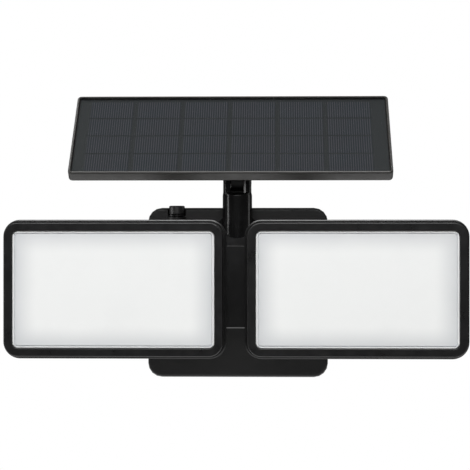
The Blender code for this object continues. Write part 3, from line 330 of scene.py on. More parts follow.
def cylinder(radius, length, sides=SMALL_SIDES):
    bm = bmesh.new()
    bmesh.ops.create_cone(bm, cap_ends=True, segments=sides, radius1=radius, radius2=radius, depth=length)
    return finished(bm)


def moved(mesh, matrix):
    mesh.transform(matrix)
    return mesh


def combined(mesh, steps):
    """Applies boolean steps, each (operation, mesh), and returns the new mesh."""
    items = [bpy.data.objects.new("work", mesh)]
    for operation, other in steps:
        items.append(bpy.data.objects.new("work_tool", other))
        step = items[0].modifiers.new(operation, "BOOLEAN")
        step.operation = operation
        step.solver = "EXACT"
        step.object = items[-1]
    for item in items:
        SCENE.collection.objects.link(item)
    bpy.context.view_layer.update()
    graph = bpy.context.evaluated_depsgraph_get()
    result = bpy.data.meshes.new_from_object(items[0].evaluated_get(graph))
    for item in items:
        bpy.data.objects.remove(item)
    result.shade_smooth()
    result.set_sharp_from_angle(angle=SHARP_ANGLE)
    return result


def softened(node, width, segments=BEVEL_SEGMENTS, shift=None):
    """Copy of a CAD node with its vertices joined, flat faces merged and sharp edges rounded."""
    bm = bmesh.new()
    bm.from_mesh(frame["nodes"][node].data)
    bmesh.ops.remove_doubles(bm, verts=bm.verts, dist=WELD_DISTANCE)
    for vertex in bm.verts if shift else []:
        vertex.co += shift(vertex.co)
    bmesh.ops.dissolve_limit(bm, angle_limit=FLAT_ANGLE, verts=bm.verts, edges=bm.edges)
    sharp = [edge for edge in bm.edges if edge.is_manifold and edge.calc_face_angle() > SHARP_ANGLE]
    bmesh.ops.bevel(bm, geom=sharp, offset=width, segments=segments, profile=BEVEL_PROFILE, affect="EDGES",
                    clamp_overlap=True)
    return finished(bm)


# Pieces

def body_of(node):
    return frame["nodes"][node]["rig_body"]


def piece(node, mesh, material, place=Matrix.Identity(4)):
    """Puts a mesh in the place of a CAD node, riding on that node's body."""
    made = bpy.data.objects.new("fine_" + node, moved(mesh, place))
    mesh.materials.clear()
    mesh.materials.append(material)
    SCENE.collection.objects.link(made)
    normals = made.modifiers.new("even_normals", "WEIGHTED_NORMAL")
    normals.keep_sharp = True
    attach(made, body_of(node))
    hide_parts(node)


def dress(node, material):
    """Gives a CAD node that stays as it is a better material."""
    data = frame["nodes"][node].data
    data.materials.clear()
    data.materials.append(material)


def facing(point, normal, across=(1.0, 0.0, 0.0)):
    """Matrix at a point with its Z along normal and its X as near as possible to across."""
    z = Vector(normal).normalized()
    y = z.cross(Vector(across)).normalized()
    x = y.cross(z)
    turn = Matrix((x, y, z)).transposed().to_4x4()
    return Matrix.Translation(point) @ turn


def spread(node, matrix):
    """Lowest and highest corner of a CAD node in the axes of a matrix."""
    inverse = matrix.inverted()
    points = [inverse @ vertex.co for vertex in frame["nodes"][node].data.vertices]
    low = Vector([min(point[axis] for point in points) for axis in range(3)])
    high = Vector([max(point[axis] for point in points) for axis in range(3)])
    return low, high


# Materials

def shader_of(name):
    material = bpy.data.materials.new(name)
    material.use_nodes = True
    return material, material.node_tree, material.node_tree.nodes["Principled BSDF"]


def add(tree, kind, inputs=None, **settings):
    """Adds a shader node. Inputs are values, or sockets to link from."""
    made = tree.nodes.new(kind)
    for key, value in settings.items():
        setattr(made, key, value)
    for key, value in (inputs or {}).items():
        if isinstance(value, bpy.types.NodeSocket):
            tree.links.new(value, made.inputs[key])
        else:
            made.inputs[key].default_value = value
    return made


def maths(tree, operation, first, second=0.0):
    return add(tree, "ShaderNodeMath", {0: first, 1: second}, operation=operation).outputs[0]


def remap(tree, value, source=(0.0, 1.0), target=(0.0, 1.0), smooth=False):
    """Carries a value from one range over to another, and keeps it within that."""
    kind = "SMOOTHSTEP" if smooth else "LINEAR"
    ends = {1: source[0], 2: source[1], 3: target[0], 4: target[1]}
    return add(tree, "ShaderNodeMapRange", {0: value, **ends}, interpolation_type=kind).outputs[0]


def tint(tree, share, first, second):
    mix = add(tree, "ShaderNodeMix", {0: share}, data_type="RGBA")
    for index, colour in ((6, first), (7, second)):
        if isinstance(colour, bpy.types.NodeSocket):
            tree.links.new(colour, mix.inputs[index])
        else:
            mix.inputs[index].default_value = (*colour, 1.0)
    return mix.outputs[2]


def noise(tree, where, scale, detail=3.0, roughness=0.55):
    return add(tree, "ShaderNodeTexNoise", {
        "Vector": where, "Scale": scale, "Detail": detail, "Roughness": roughness}).outputs["Fac"]


def object_space(tree):
    return add(tree, "ShaderNodeTexCoord").outputs["Object"]


def grain(tree, where, scale, strength, depth, edge=0.0):
    """Fine surface bump over softly rounded edges."""
    inputs = {"Height": noise(tree, where, scale), "Strength": strength, "Distance": depth}
    if edge:
        inputs["Normal"] = add(tree, "ShaderNodeBevel", {"Radius": edge}, samples=BEVEL_SAMPLES).outputs[0]
    return add(tree, "ShaderNodeBump", inputs).outputs[0]


def moulded(name, colour, roughness, strength=0.12, worn=1.8, shine=0.5):
    """Moulded plastic or rubber: fine grain, cloudy gloss, faint handling marks and paler edges."""
    material, tree, shader = shader_of(name)
    where = object_space(tree)
    spots = noise(tree, where, scale=45.0, detail=5.0, roughness=0.65)
    marks = remap(tree, spots, source=(0.48, 0.75), smooth=True)
    ridge = add(tree, "ShaderNodeNewGeometry").outputs["Pointiness"]
    rubbed = remap(tree, ridge, source=(0.51, 0.60))
    pale = tuple(channel * worn for channel in colour)
    dull = tuple(channel * MARK_GAIN + MARK_LIFT for channel in colour)
    shader.inputs["Specular IOR Level"].default_value = shine
    tree.links.new(tint(tree, rubbed, tint(tree, marks, colour, dull), pale), shader.inputs["Base Color"])
    cloud = noise(tree, where, scale=130.0, detail=4.0)
    tree.links.new(remap(tree, cloud, source=(0.3, 0.7), target=(roughness - 0.04, roughness + 0.05)),
                   shader.inputs["Roughness"])
    tree.links.new(grain(tree, where, scale=2600.0, strength=strength, depth=0.00006, edge=MOULD_ROUNDING),
                   shader.inputs["Normal"])
    return material


def metal(name, colour, roughness, brushed=0.12):
    """Plain or blackened steel with fine turning marks and a cloudy finish."""
    material, tree, shader = shader_of(name)
    where = object_space(tree)
    shader.inputs["Metallic"].default_value = 1.0
    cloud = noise(tree, where, scale=350.0, detail=4.0)
    dark = tuple(channel * METAL_SHADE for channel in colour)
    tree.links.new(tint(tree, cloud, dark, colour), shader.inputs["Base Color"])
    tree.links.new(remap(tree, cloud, source=(0.3, 0.7), target=(roughness - 0.06, roughness + 0.08)),
                   shader.inputs["Roughness"])
    tree.links.new(grain(tree, where, scale=5200.0, strength=brushed, depth=0.00003, edge=0.0002),
                   shader.inputs["Normal"])
    return material


def milky(name):
    """Milky diffuser with painted shade: brightest in the middle and greyer towards its border, where less
    light from inside falls, with a faint frosted grain.
    """
    material, tree, shader = shader_of(name)
    coords = add(tree, "ShaderNodeTexCoord")
    parts = add(tree, "ShaderNodeSeparateXYZ", {0: coords.outputs["Generated"]}).outputs
    low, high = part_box("left_lens")
    near = []
    rim = []
    # Painted shade: towards the border the colour fades to the border shade; the narrow band outside the
    # groove keeps the full lens colour
    for axis, reach in LENS_SHADE_FADE.items():
        offset = maths(tree, "ABSOLUTE", maths(tree, "SUBTRACT", parts[axis], 0.5))
        near.append(remap(tree, offset, source=(0.5 - reach / 2, 0.5), target=(1.0, 0.0), smooth=True))
        start = 0.5 - (BEZEL_WIDTH - BEZEL_SKIRT + LENS_BORDER) / (high - low)[axis]
        rim.append(maths(tree, "GREATER_THAN", offset, start))
    middle = maths(tree, "MAXIMUM", maths(tree, "MULTIPLY", near[0], near[1]), maths(tree, "MAXIMUM", *rim))
    cloud = noise(tree, coords.outputs["Object"], scale=22.0, detail=2.0)
    share = maths(tree, "ADD", middle, remap(tree, cloud, source=(0.3, 0.7), target=(-0.05, 0.05)))
    tree.links.new(tint(tree, share, LENS_BORDER_PAINTED_SHADE, LENS_COLOUR), shader.inputs["Base Color"])
    shader.inputs["Roughness"].default_value = LENS_ROUGHNESS
    tree.links.new(grain(tree, coords.outputs["Object"], scale=3800.0, strength=0.05, depth=0.00004),
                   shader.inputs["Normal"])
    return material


def solar(name, plane, low, high):
    """Cells with fine printed conductor lines in the panel's plane, and darker gaps between them."""
    material, tree, shader = shader_of(name)
    place = add(tree, "ShaderNodeMapping", {
        "Vector": object_space(tree), "Location": plane.translation, "Rotation": plane.to_euler()},
        vector_type="TEXTURE").outputs[0]
    parts = add(tree, "ShaderNodeSeparateXYZ", {0: place}).outputs
    spans = (
        (parts[0], low.x + SOLAR_LEFT, high.x - SOLAR_RIGHT, SOLAR_COLUMNS, SOLAR_COLUMN_GAP),
        (parts[1], low.y + SOLAR_BOTTOM, high.y - SOLAR_TOP, SOLAR_ROWS, SOLAR_ROW_GAP))
    inside = []
    for value, start, end, count, gap in spans:
        pitch = (end - start) / count
        along = maths(tree, "DIVIDE", maths(tree, "SUBTRACT", value, start), pitch)
        offset = maths(tree, "ABSOLUTE", maths(tree, "SUBTRACT", maths(tree, "FRACT", along), 0.5))
        edge = 0.5 - gap / pitch / 2
        inside.append(remap(tree, offset, source=(edge - LINE_BLUR, edge + LINE_BLUR), target=(1.0, 0.0)))
        ends = maths(tree, "ABSOLUTE", maths(tree, "SUBTRACT", along, count / 2))
        inside.append(maths(tree, "LESS_THAN", ends, count / 2))
    cell = inside[0]
    for other in inside[1:]:
        cell = maths(tree, "MULTIPLY", cell, other)
    phase = maths(tree, "FRACT", maths(tree, "DIVIDE", parts[0], FINGER_PITCH))
    middle = maths(tree, "ABSOLUTE", maths(tree, "SUBTRACT", phase, 0.5))
    half = FINGER_WIDTH / FINGER_PITCH / 2
    line = remap(tree, middle, source=(half - FINGER_BLUR, half + FINGER_BLUR), target=(1.0, 0.0))
    finger = maths(tree, "MULTIPLY", cell, line)
    cloud = remap(tree, noise(tree, place, scale=38.0), source=(0.35, 0.65))
    silicon = tint(tree, cloud, CELL_COOL, CELL_WARM)
    ground = tint(tree, cell, GAP_COLOUR, silicon)
    tree.links.new(tint(tree, finger, ground, FINGER_COLOUR), shader.inputs["Base Color"])
    tree.links.new(remap(tree, cell, target=(0.42, 0.30)), shader.inputs["Roughness"])
    tree.links.new(grain(tree, place, scale=1900.0, strength=0.08, depth=0.00004), shader.inputs["Normal"])
    return material


def clear_glass(name):
    """Thin cover glass that lets light through, with a faint ripple and specks of dust."""
    material, tree, shader = shader_of(name)
    where = object_space(tree)
    shader.inputs["Base Color"].default_value = (*GLASS_COLOUR, 1.0)
    shader.inputs["IOR"].default_value = GLASS_IOR
    specks = noise(tree, where, scale=900.0, detail=6.0, roughness=0.7)
    dust = remap(tree, specks, source=(0.62, 0.85))
    tree.links.new(remap(tree, dust, target=(GLASS_ALPHA, GLASS_ALPHA + GLASS_DUST)), shader.inputs["Alpha"])
    tree.links.new(remap(tree, dust, target=(0.06, 0.08)), shader.inputs["Roughness"])
    tree.links.new(grain(tree, where, scale=14.0, strength=0.04, depth=0.0002), shader.inputs["Normal"])
    return material


def board(name, colour, pale):
    """Circuit board lacquer with a faint weave and paler tracks."""
    material, tree, shader = shader_of(name)
    where = object_space(tree)
    weave = add(tree, "ShaderNodeTexWave", {
        "Vector": where, "Scale": 420.0, "Distortion": 1.5}).outputs["Fac"]
    tracks = add(tree, "ShaderNodeTexBrick", {
        "Vector": where, "Scale": 160.0, "Mortar Size": 0.03}).outputs["Fac"]
    tree.links.new(tint(tree, tracks, colour, pale), shader.inputs["Base Color"])
    tree.links.new(remap(tree, weave, target=(0.32, 0.5)), shader.inputs["Roughness"])
    tree.links.new(grain(tree, where, scale=3000.0, strength=0.1, depth=0.00004), shader.inputs["Normal"])
    return material


SATIN = moulded("satin_black_plastic", BLACK, roughness=0.32)
BOX = moulded("box_black_plastic", BOX_BLACK, roughness=0.42)
GLOSS = moulded("gloss_black_plastic", BLACK, roughness=0.20, strength=0.02)
DULL = moulded("dull_black_plastic", BLACK, roughness=0.55)
BEZEL = moulded("bezel_black_plastic", BLACK, roughness=0.31, strength=0.08)
TRAY = moulded("tray_black_plastic", TRAY_BLACK, roughness=0.36, strength=0.05)
RUBBER = moulded("black_rubber", RUBBER_BLACK, roughness=0.40, strength=0.03, shine=1.0)
STEEL = metal("plain_steel", STEEL_GREY, roughness=0.28)
BLACK_STEEL = metal("blackened_steel", STEEL_BLACK, roughness=0.36)
MILKY = milky("milky_diffuser_painted_shade")
GREEN = board("green_circuit_board", BOARD_GREEN, TRACK_GREEN)
WHITE_BOARD = board("white_led_board", BOARD_WHITE, TRACK_WHITE)
WRAP = moulded("cell_wrap", WRAP_BLUE, roughness=0.32, worn=1.1)


# Lamp heads

def rim_sections(width, height, corner, edge, front):
    """Sections of a front edge that is rounded over, from the side wall to the face."""
    return [(outline(width - 2 * inset, height - 2 * inset, corner - inset), front - fall)
            for inset, fall in arc(edge)]


def foot_sections(width, height, corner, edge, rear):
    """Sections of a rear edge that is rounded over, from the rear face to the side wall."""
    return [(outline(width - 2 * inset, height - 2 * inset, corner - inset), rear + rise)
            for rise, inset in arc(edge)]


def build_head(label):
    low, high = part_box(label + "_bezel")
    middle = (low + high) / 2
    width = high.x - low.x
    height = high.z - low.z
    depth = high.y - low.y
    place = facing((middle.x, low.y, middle.z), (0.0, -1.0, 0.0))
    build_bezel(label, place, width, height, depth)
    spigot = (width - 2 * (BEZEL_SKIRT + FIT), height - 2 * (BEZEL_SKIRT + FIT), SKIRT_CORNER - FIT)
    build_lens(label, place, width, height, spigot)
    build_shell(label, place, width, height, depth, spigot)


def build_bezel(label, place, width, height, depth):
    opening = (width - 2 * BEZEL_WIDTH, height - 2 * BEZEL_WIDTH, HEAD_CORNER - BEZEL_WIDTH)
    skirt = (width - 2 * BEZEL_SKIRT, height - 2 * BEZEL_SKIRT, SKIRT_CORNER)
    sections = [(outline(width, height, HEAD_CORNER), -depth)]
    sections += rim_sections(width, height, HEAD_CORNER, BEZEL_EDGE, 0.0)
    for fall, grow in arc(INNER_EDGE):
        sections.append((outline(opening[0] + 2 * grow, opening[1] + 2 * grow, opening[2] + grow), -fall))
    sections += [(outline(*opening), -BEZEL_LIP), (outline(*skirt), -BEZEL_LIP), (outline(*skirt), -depth)]
    piece(label + "_bezel", loft(sections, ring=True), BEZEL, place)


def build_lens(label, place, width, height, spigot):
    opening = (width - 2 * (BEZEL_WIDTH + FIT), height - 2 * (BEZEL_WIDTH + FIT))
    corner = HEAD_CORNER - BEZEL_WIDTH - FIT
    flange_top = -BEZEL_LIP - FIT

    def within(amount):
        return outline(opening[0] - 2 * amount, opening[1] - 2 * amount, max(corner - amount, LENS_EDGE))

    sections = [(outline(*spigot), flange_top - LENS_FLANGE), (outline(*spigot), flange_top),
                (within(0.0), flange_top)]
    sections += [(within(inset), -LENS_RECESS - fall) for inset, fall in arc(LENS_EDGE)]
    for step in range(2 * EDGE_STEPS + 1):
        angle = math.pi * step / (2 * EDGE_STEPS)
        sections.append((within(LENS_BORDER + LENS_GROOVE * (1 - math.cos(angle))),
                         -LENS_RECESS - LENS_GROOVE_DEPTH * math.sin(angle)))
    piece(label + "_lens", loft(sections), MILKY, place)


def build_shell(label, place, width, height, depth, spigot):
    """Rear shell with its rounded rim, taper, heat ribs, screw pockets and hinge lugs."""
    joint = -depth - FIT
    waist = joint - SHELL_FLANGE
    rear = -HEAD_DEPTH
    wide = (width + 2 * SHELL_STEP, height + 2 * SHELL_STEP, HEAD_CORNER + SHELL_STEP)
    small = (wide[0] - 2 * SHELL_TAPER, wide[1] - 2 * SHELL_TAPER, wide[2])
    cavity = (spigot[0] - 2 * SPIGOT_WALL, spigot[1] - 2 * SPIGOT_WALL, spigot[2] - SPIGOT_WALL)
    deep = (cavity[0] - 2 * CAVITY_TAPER, cavity[1] - 2 * CAVITY_TAPER, cavity[2])
    spigot_top = -BEZEL_LIP - LENS_FLANGE - SEAL_THICK - 3 * FIT
    sections = foot_sections(*small, SHELL_REAR_EDGE, rear)
    sections.append((outline(*wide), waist))
    sections += rim_sections(*wide, SHELL_EDGE, joint - BEAD_FALL)
    bead = outline(wide[0] - 2 * RIM_BEAD, wide[1] - 2 * RIM_BEAD, wide[2] - RIM_BEAD)
    seat = outline(width, height, HEAD_CORNER)
    sections += [(bead, joint), (bead, joint - RIM_GROOVE), (seat, joint - RIM_GROOVE), (seat, joint),
                 (outline(*spigot), joint), (outline(*spigot), spigot_top), (outline(*cavity), spigot_top),
                 (outline(*cavity), waist), (outline(*deep), rear + SHELL_WALL)]
    side = SIDES[label]
    tilt = (place.inverted() @ ((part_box(label + "_tilt_bolt")[0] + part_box(label + "_tilt_bolt")[1]) / 2))
    hinge = (place.inverted() @ Vector((sum(corner.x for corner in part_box(label + "_knuckle")) / 2, 0, 0))).x
    steps = []
    for index in range(RIB_COUNT):
        rib = block(RIB_WIDTH, RIB_HEIGHT, 2 * RIB_RISE, RIB_EDGE)
        x = side * (RIB_FIRST + index * RIB_PITCH)
        steps.append(("UNION", moved(rib, Matrix.Translation((x, 0.0, rear)))))
    for end in (-1, 1):
        x = hinge + end * (LUG_INNER + LUG_THICK / 2)
        steps.append(("UNION", moved(lug_mesh(), Matrix.Translation((x, 0.0, tilt.z)))))
    bore = moved(cylinder(BOLT_RADIUS + FIT, 4 * LUG_INNER), Matrix.Rotation(QUARTER, 4, "Y"))
    steps.append(("DIFFERENCE", moved(bore, Matrix.Translation((hinge, 0.0, tilt.z)))))
    pocket_top = joint - SCREW_SEAT
    deepness = pocket_top - rear + OVERRUN
    for x in (-1, 1):
        for y in (-1, 1):
            spot = (x * (width / 2 - SCREW_INSET), y * (height / 2 - SCREW_INSET), pocket_top - deepness / 2)
            pocket = moved(cylinder(POCKET_RADIUS, deepness), Matrix.Translation(spot))
            steps.append(("DIFFERENCE", pocket))
    piece(label + "_shell", combined(loft(sections), steps), SATIN, place)


def lug_mesh():
    """Hinge lug with a round end, standing on the shell's rear face, its hole along X."""
    points = []
    for step in range(SMALL_SIDES // 2 + 1):
        angle = math.pi * step / (SMALL_SIDES // 2)
        points.append((LUG_RADIUS * math.cos(angle), -LUG_RADIUS * math.sin(angle)))
    points += [(-LUG_RADIUS, HEAD_REAR + OVERRUN), (LUG_RADIUS, HEAD_REAR + OVERRUN)]
    share = 1 - LUG_EDGE / LUG_RADIUS
    shrunk = [(x * share, y * share if y < 0 else y) for x, y in points]
    half = LUG_THICK / 2
    mesh = loft([(shrunk, -half), (points, LUG_EDGE - half), (points, half - LUG_EDGE), (shrunk, half)])
    return moved(mesh, UPRIGHT)


# Solar panel

def build_panel():
    glass = frame["nodes"]["panel_glass"].data
    normal = max(glass.polygons, key=lambda face: face.area * (face.normal.z > 0)).normal
    low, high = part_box("panel_glass")
    plane = facing((low + high) / 2, normal)
    low, high = spread("panel_tray", plane)
    plane = plane @ Matrix.Translation(((low.x + high.x) / 2, (low.y + high.y) / 2, low.z))
    low, high = spread("panel_tray", plane)
    size = (high.x - low.x, high.y - low.y)

    def inset(amount):
        corner = max(PANEL_CORNER - amount, PANEL_EDGE)
        return outline(size[0] - 2 * amount, size[1] - 2 * amount, corner)

    sections = foot_sections(*size, PANEL_CORNER, PANEL_BACK_EDGE, 0.0)
    sections += rim_sections(*size, PANEL_CORNER, PANEL_EDGE, PANEL_THICK)
    sections += [(inset(TRAY_RIM - EDGE_BREAK), PANEL_THICK), (inset(TRAY_RIM), PANEL_THICK - EDGE_BREAK),
                 (inset(TRAY_RIM), SHELF_LEVEL), (inset(TRAY_RIM + TRAY_SHELF), SHELF_LEVEL),
                 (inset(TRAY_RIM + TRAY_SHELF), TRAY_FLOOR)]
    piece("panel_tray", loft(sections), TRAY, plane)

    pane = spread("panel_glass", plane)
    edge = TRAY_RIM + FIT
    piece("panel_glass", loft([
        (inset(edge), pane[0].z), (inset(edge), pane[1].z - GLASS_EDGE),
        (inset(edge + GLASS_EDGE), pane[1].z)]), clear_glass("cover_glass"), plane)
    dress("solar_cells", solar("solar_cell_print", plane, low, high))
    for index in (1, 2):
        fasten(f"neck_screw_{index}", -normal, cross_screw)


# Fasteners

def fasten(node, direction, maker, material=None):
    """Builds a fastener along a direction, in the place and to the size of its CAD node."""
    low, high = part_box(node)
    start = facing((low + high) / 2, direction, (0.0, 1.0, 0.0) if direction[0] else (1.0, 0.0, 0.0))
    low, high = spread(node, start)
    start = start @ Matrix.Translation(((low.x + high.x) / 2, (low.y + high.y) / 2, high.z))
    inverse = start.inverted()
    corner = max((inverse @ vertex.co for vertex in frame["nodes"][node].data.vertices),
                 key=lambda point: round(point.xy.length, 6))
    turn = Matrix.Rotation(math.atan2(corner.y, corner.x) - QUARTER, 4, "Z")
    piece(node, maker(corner.xy.length, high.z - low.z), material or STEEL, start @ turn)


def cross_screw(radius, length):
    """Pan-head screw with a cross recess, its head's top at the origin."""
    head = [(radius * across, -SCREW_HEAD_HEIGHT * down) for across, down in SCREW_PROFILE]
    points = [(0.0, 0.0), *head, (SCREW_SHANK, -SCREW_HEAD_HEIGHT), (SCREW_SHANK, SCREW_SHANK - length),
              (0.0, -length)]
    recess = 2 * RECESS_SHARE * SCREW_HEAD_HEIGHT
    slots = [("DIFFERENCE", block(radius * CROSS_LENGTH, radius * CROSS_WIDTH, recess)),
             ("DIFFERENCE", block(radius * CROSS_WIDTH, radius * CROSS_LENGTH, recess))]
    return combined(turned(points, SMALL_SIDES), slots)


def socket_bolt(radius, length):
    """Button-head bolt with a hexagon socket, its head's top at the origin."""
    points = [(0.0, 0.0), *round_edge(radius, 0.0, BOLT_HEAD_HEIGHT * HEAD_ROUND),
              (radius, -BOLT_HEAD_HEIGHT), (BOLT_RADIUS, -BOLT_HEAD_HEIGHT),
              (BOLT_RADIUS, EDGE_BREAK - length), (BOLT_RADIUS - EDGE_BREAK, -length), (0.0, -length)]
    socket = cylinder(radius * RECESS_SHARE, BOLT_HEAD_HEIGHT, HEX_SIDES)
    return combined(turned(points, SMALL_SIDES), [("DIFFERENCE", socket)])


def hex_nut(radius, length):
    """Hexagon nut with chamfered corners, its outer face at the origin."""
    flat = radius * math.cos(math.pi / HEX_SIDES)
    reach = radius * NUT_REACH
    chamfer = [(0.0, 0.0), (flat, 0.0), (reach, -length * NUT_CHAMFER), (reach, -length * (1 - NUT_CHAMFER)),
               (flat, -length), (0.0, -length)]
    body = moved(cylinder(radius, length, HEX_SIDES), Matrix.Translation((0.0, 0.0, -length / 2)))
    return combined(body, [("INTERSECT", turned(chamfer, SMALL_SIDES)),
                           ("DIFFERENCE", cylinder(BOLT_RADIUS + FIT, 4 * length))])


def build_fasteners():
    rear = (0.0, 1.0, 0.0)
    for index in range(1, SCREW_COUNT + 1):
        fasten(f"cover_screw_{index}", rear, cross_screw)
        fasten(f"block_screw_{index}", rear, cross_screw)
        for label in SIDES:
            fasten(f"{label}_head_screw_{index}", rear, cross_screw)
    for label, side in SIDES.items():
        fasten(label + "_pan_bolt", (0.0, 0.0, 1.0), socket_bolt, BLACK_STEEL)
        fasten(label + "_pan_nut", (0.0, 0.0, -1.0), hex_nut, BLACK_STEEL)
        fasten(label + "_tilt_bolt", (side, 0.0, 0.0), socket_bolt, BLACK_STEEL)
        fasten(label + "_tilt_nut", (-side, 0.0, 0.0), hex_nut, BLACK_STEEL)
    fasten("panel_tilt_bolt", (-1.0, 0.0, 0.0), socket_bolt, BLACK_STEEL)
    fasten("panel_tilt_nut", (1.0, 0.0, 0.0), hex_nut, BLACK_STEEL)


# Block, mast and button

def build_block():
    """Joint block whose broad chamfer at the lower front becomes a narrow one."""
    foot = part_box("joint_block")[0].z + BLOCK_SETBACK
    limit = foot + BLOCK_CHAMFER + WELD_DISTANCE
    vertices = frame["nodes"]["joint_block"].data.vertices
    front = min(vertex.co.y for vertex in vertices if vertex.co.z < limit)

    def tighten(place):
        in_front = abs(place.y - front) < WELD_DISTANCE
        at_foot = abs(place.z - foot) < WELD_DISTANCE
        if in_front and abs(place.z - foot - BLOCK_CHAMFER) < WELD_DISTANCE:
            return Vector((0.0, 0.0, BLOCK_EDGE - BLOCK_CHAMFER))
        if at_foot and abs(place.y - front - BLOCK_CHAMFER) < WELD_DISTANCE:
            return Vector((0.0, BLOCK_EDGE - BLOCK_CHAMFER, 0.0))
        return Vector()

    piece("joint_block", softened("joint_block", BLOCK_ROUND, shift=tighten), SATIN)


def build_mast():
    """Round post that turns into a square fork, with a chamfered slot, a bolt bore and its recesses."""
    low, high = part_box("mast_post")
    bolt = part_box("panel_tilt_bolt")
    pivot = (bolt[0].z + bolt[1].z) / 2
    shoulder = -FORK_RUN
    circle = outline(2 * MAST_RADIUS, 2 * MAST_RADIUS, MAST_RADIUS - WELD_DISTANCE)
    square = outline(FORK_WIDTH, FORK_DEPTH, FORK_CORNER)
    foot = SOCKET_FLOOR + FIT - pivot
    stub = outline(2 * STUB_RADIUS, 2 * STUB_RADIUS, STUB_RADIUS - WELD_DISTANCE)
    sections = [(stub, low.z - pivot), (stub, foot), (circle, foot)]
    for step in range(BLEND_STEPS + 1):
        share = step / BLEND_STEPS
        smooth = share * share * (3 - 2 * share)
        points = [(x + smooth * (u - x), y + smooth * (v - y)) for (x, y), (u, v) in zip(circle, square)]
        sections.append((points, shoulder + FORK_BLEND * share))
    sections.append((square, FORK_DEPTH))
    flip = Matrix.Rotation(QUARTER, 4, "Y")
    steps = [("DIFFERENCE", fork_top()), ("DIFFERENCE", slot_cutter()),
             ("DIFFERENCE", moved(cylinder(TONGUE_END + FIT, FORK_SLOT), flip)),
             ("DIFFERENCE", moved(cylinder(BOLT_RADIUS + FIT, 2 * FORK_WIDTH), flip))]
    for side, radius in ((-1, BOLT_HEAD_RADIUS), (1, NUT_RADIUS)):
        recess = moved(cylinder(radius + FIT, 2 * BOLT_RECESS), flip)
        steps.append(("DIFFERENCE", moved(recess, Matrix.Translation((side * FORK_WIDTH / 2, 0.0, 0.0)))))
    place = Matrix.Translation(((low.x + high.x) / 2, (low.y + high.y) / 2, pivot))
    piece("mast_post", combined(loft(sections), steps), GLOSS, place)


def fork_top():
    """All that lies above the rounded top of the fork, round the pivot."""
    radius = FORK_DEPTH / 2
    reach = 2 * FORK_DEPTH
    points = [(-reach, 0.0)]
    for step in range(SMALL_SIDES + 1):
        angle = math.pi * (1 - step / SMALL_SIDES)
        points.append((radius * math.cos(angle), radius * math.sin(angle)))
    points += [(reach, 0.0), (reach, reach), (-reach, reach)]
    return moved(loft([(points, -FORK_WIDTH), (points, FORK_WIDTH)]), UPRIGHT)


def slot_cutter():
    """Slot of the fork with chamfered edges, deep in front and closed by a low wall at the back."""
    half = FORK_DEPTH / 2
    narrow = FORK_SLOT / 2
    wide = narrow + SLOT_FLARE
    front = [(narrow, 0.0), (-narrow, 0.0), (-narrow, SLOT_EDGE - half), (-wide, -half), (-wide, -FORK_DEPTH),
             (wide, -FORK_DEPTH), (wide, -half), (narrow, SLOT_EDGE - half)]
    back = [(narrow, -OVERRUN), (narrow, half - SLOT_EDGE), (wide, half), (wide, FORK_DEPTH),
            (-wide, FORK_DEPTH), (-wide, half), (-narrow, half - SLOT_EDGE), (-narrow, -OVERRUN)]
    deep = loft([(front, -SLOT_RUN), (front, 2 * FORK_DEPTH)])
    shallow = loft([(back, -BACK_WALL_DROP), (back, 2 * FORK_DEPTH)])
    return combined(deep, [("UNION", shallow)])


def build_button():
    """Cap with a dished top and a stem behind its axis that works the switch, and the collar round it."""
    low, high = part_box("button_cap")
    radius = (high.x - low.x) / 2
    wide = radius + CAP_GROWTH
    ring = (wide * DISH_RING[0], -BUTTON_DISH * DISH_RING[1])
    points = [(0.0, -BUTTON_DISH), ring, *round_edge(wide, 0.0, BUTTON_EDGE), (wide, -BUTTON_SKIRT),
              (0.0, -BUTTON_SKIRT)]
    length = high.z - low.z - BUTTON_SKIRT + BUTTON_EDGE
    stem = moved(cylinder(STEM_RADIUS, length),
                 Matrix.Translation((0.0, STEM_BACK, low.z - high.z + length / 2)))
    place = Matrix.Translation(((low.x + high.x) / 2, low.y + radius, high.z))
    piece("button_cap", combined(turned(points), [("UNION", stem)]), RUBBER, place)
    low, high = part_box("button_collar")
    inner = wide + FIT
    outer = inner + COLLAR_WIDTH
    ring = [(outline(2 * size, 2 * size, size - WELD_DISTANCE), level) for size, level in (
        (inner, COLLAR_RISE), (outer, COLLAR_RISE), (outer, high.z - low.z), (inner, high.z - low.z))]
    middle = (low + high) / 2
    piece("button_collar", loft(ring, ring=True), SATIN, Matrix.Translation((middle.x, middle.y, low.z)))


# Stage

def aimed(place, target):
    return (Vector(target) - Vector(place)).to_track_quat("-Z", "Y").to_euler()


def softbox(name, place, size, power, target=LAMP_TARGET):
    lamp = bpy.data.lights.new(name, "AREA")
    lamp.shape = "RECTANGLE"
    lamp.size, lamp.size_y = size
    lamp.energy = power
    made = bpy.data.objects.new(name, lamp)
    SCENE.collection.objects.link(made)
    made.location = place
    made.rotation_euler = aimed(place, target)
    made.visible_camera = False


def rays(tree):
    """Kinds of ray that meet a surface, and whether one was mirrored or let through before."""
    path = add(tree, "ShaderNodeLightPath").outputs
    return path, maths(tree, "MAXIMUM", path["Is Glossy Ray"], path["Is Transmission Ray"])


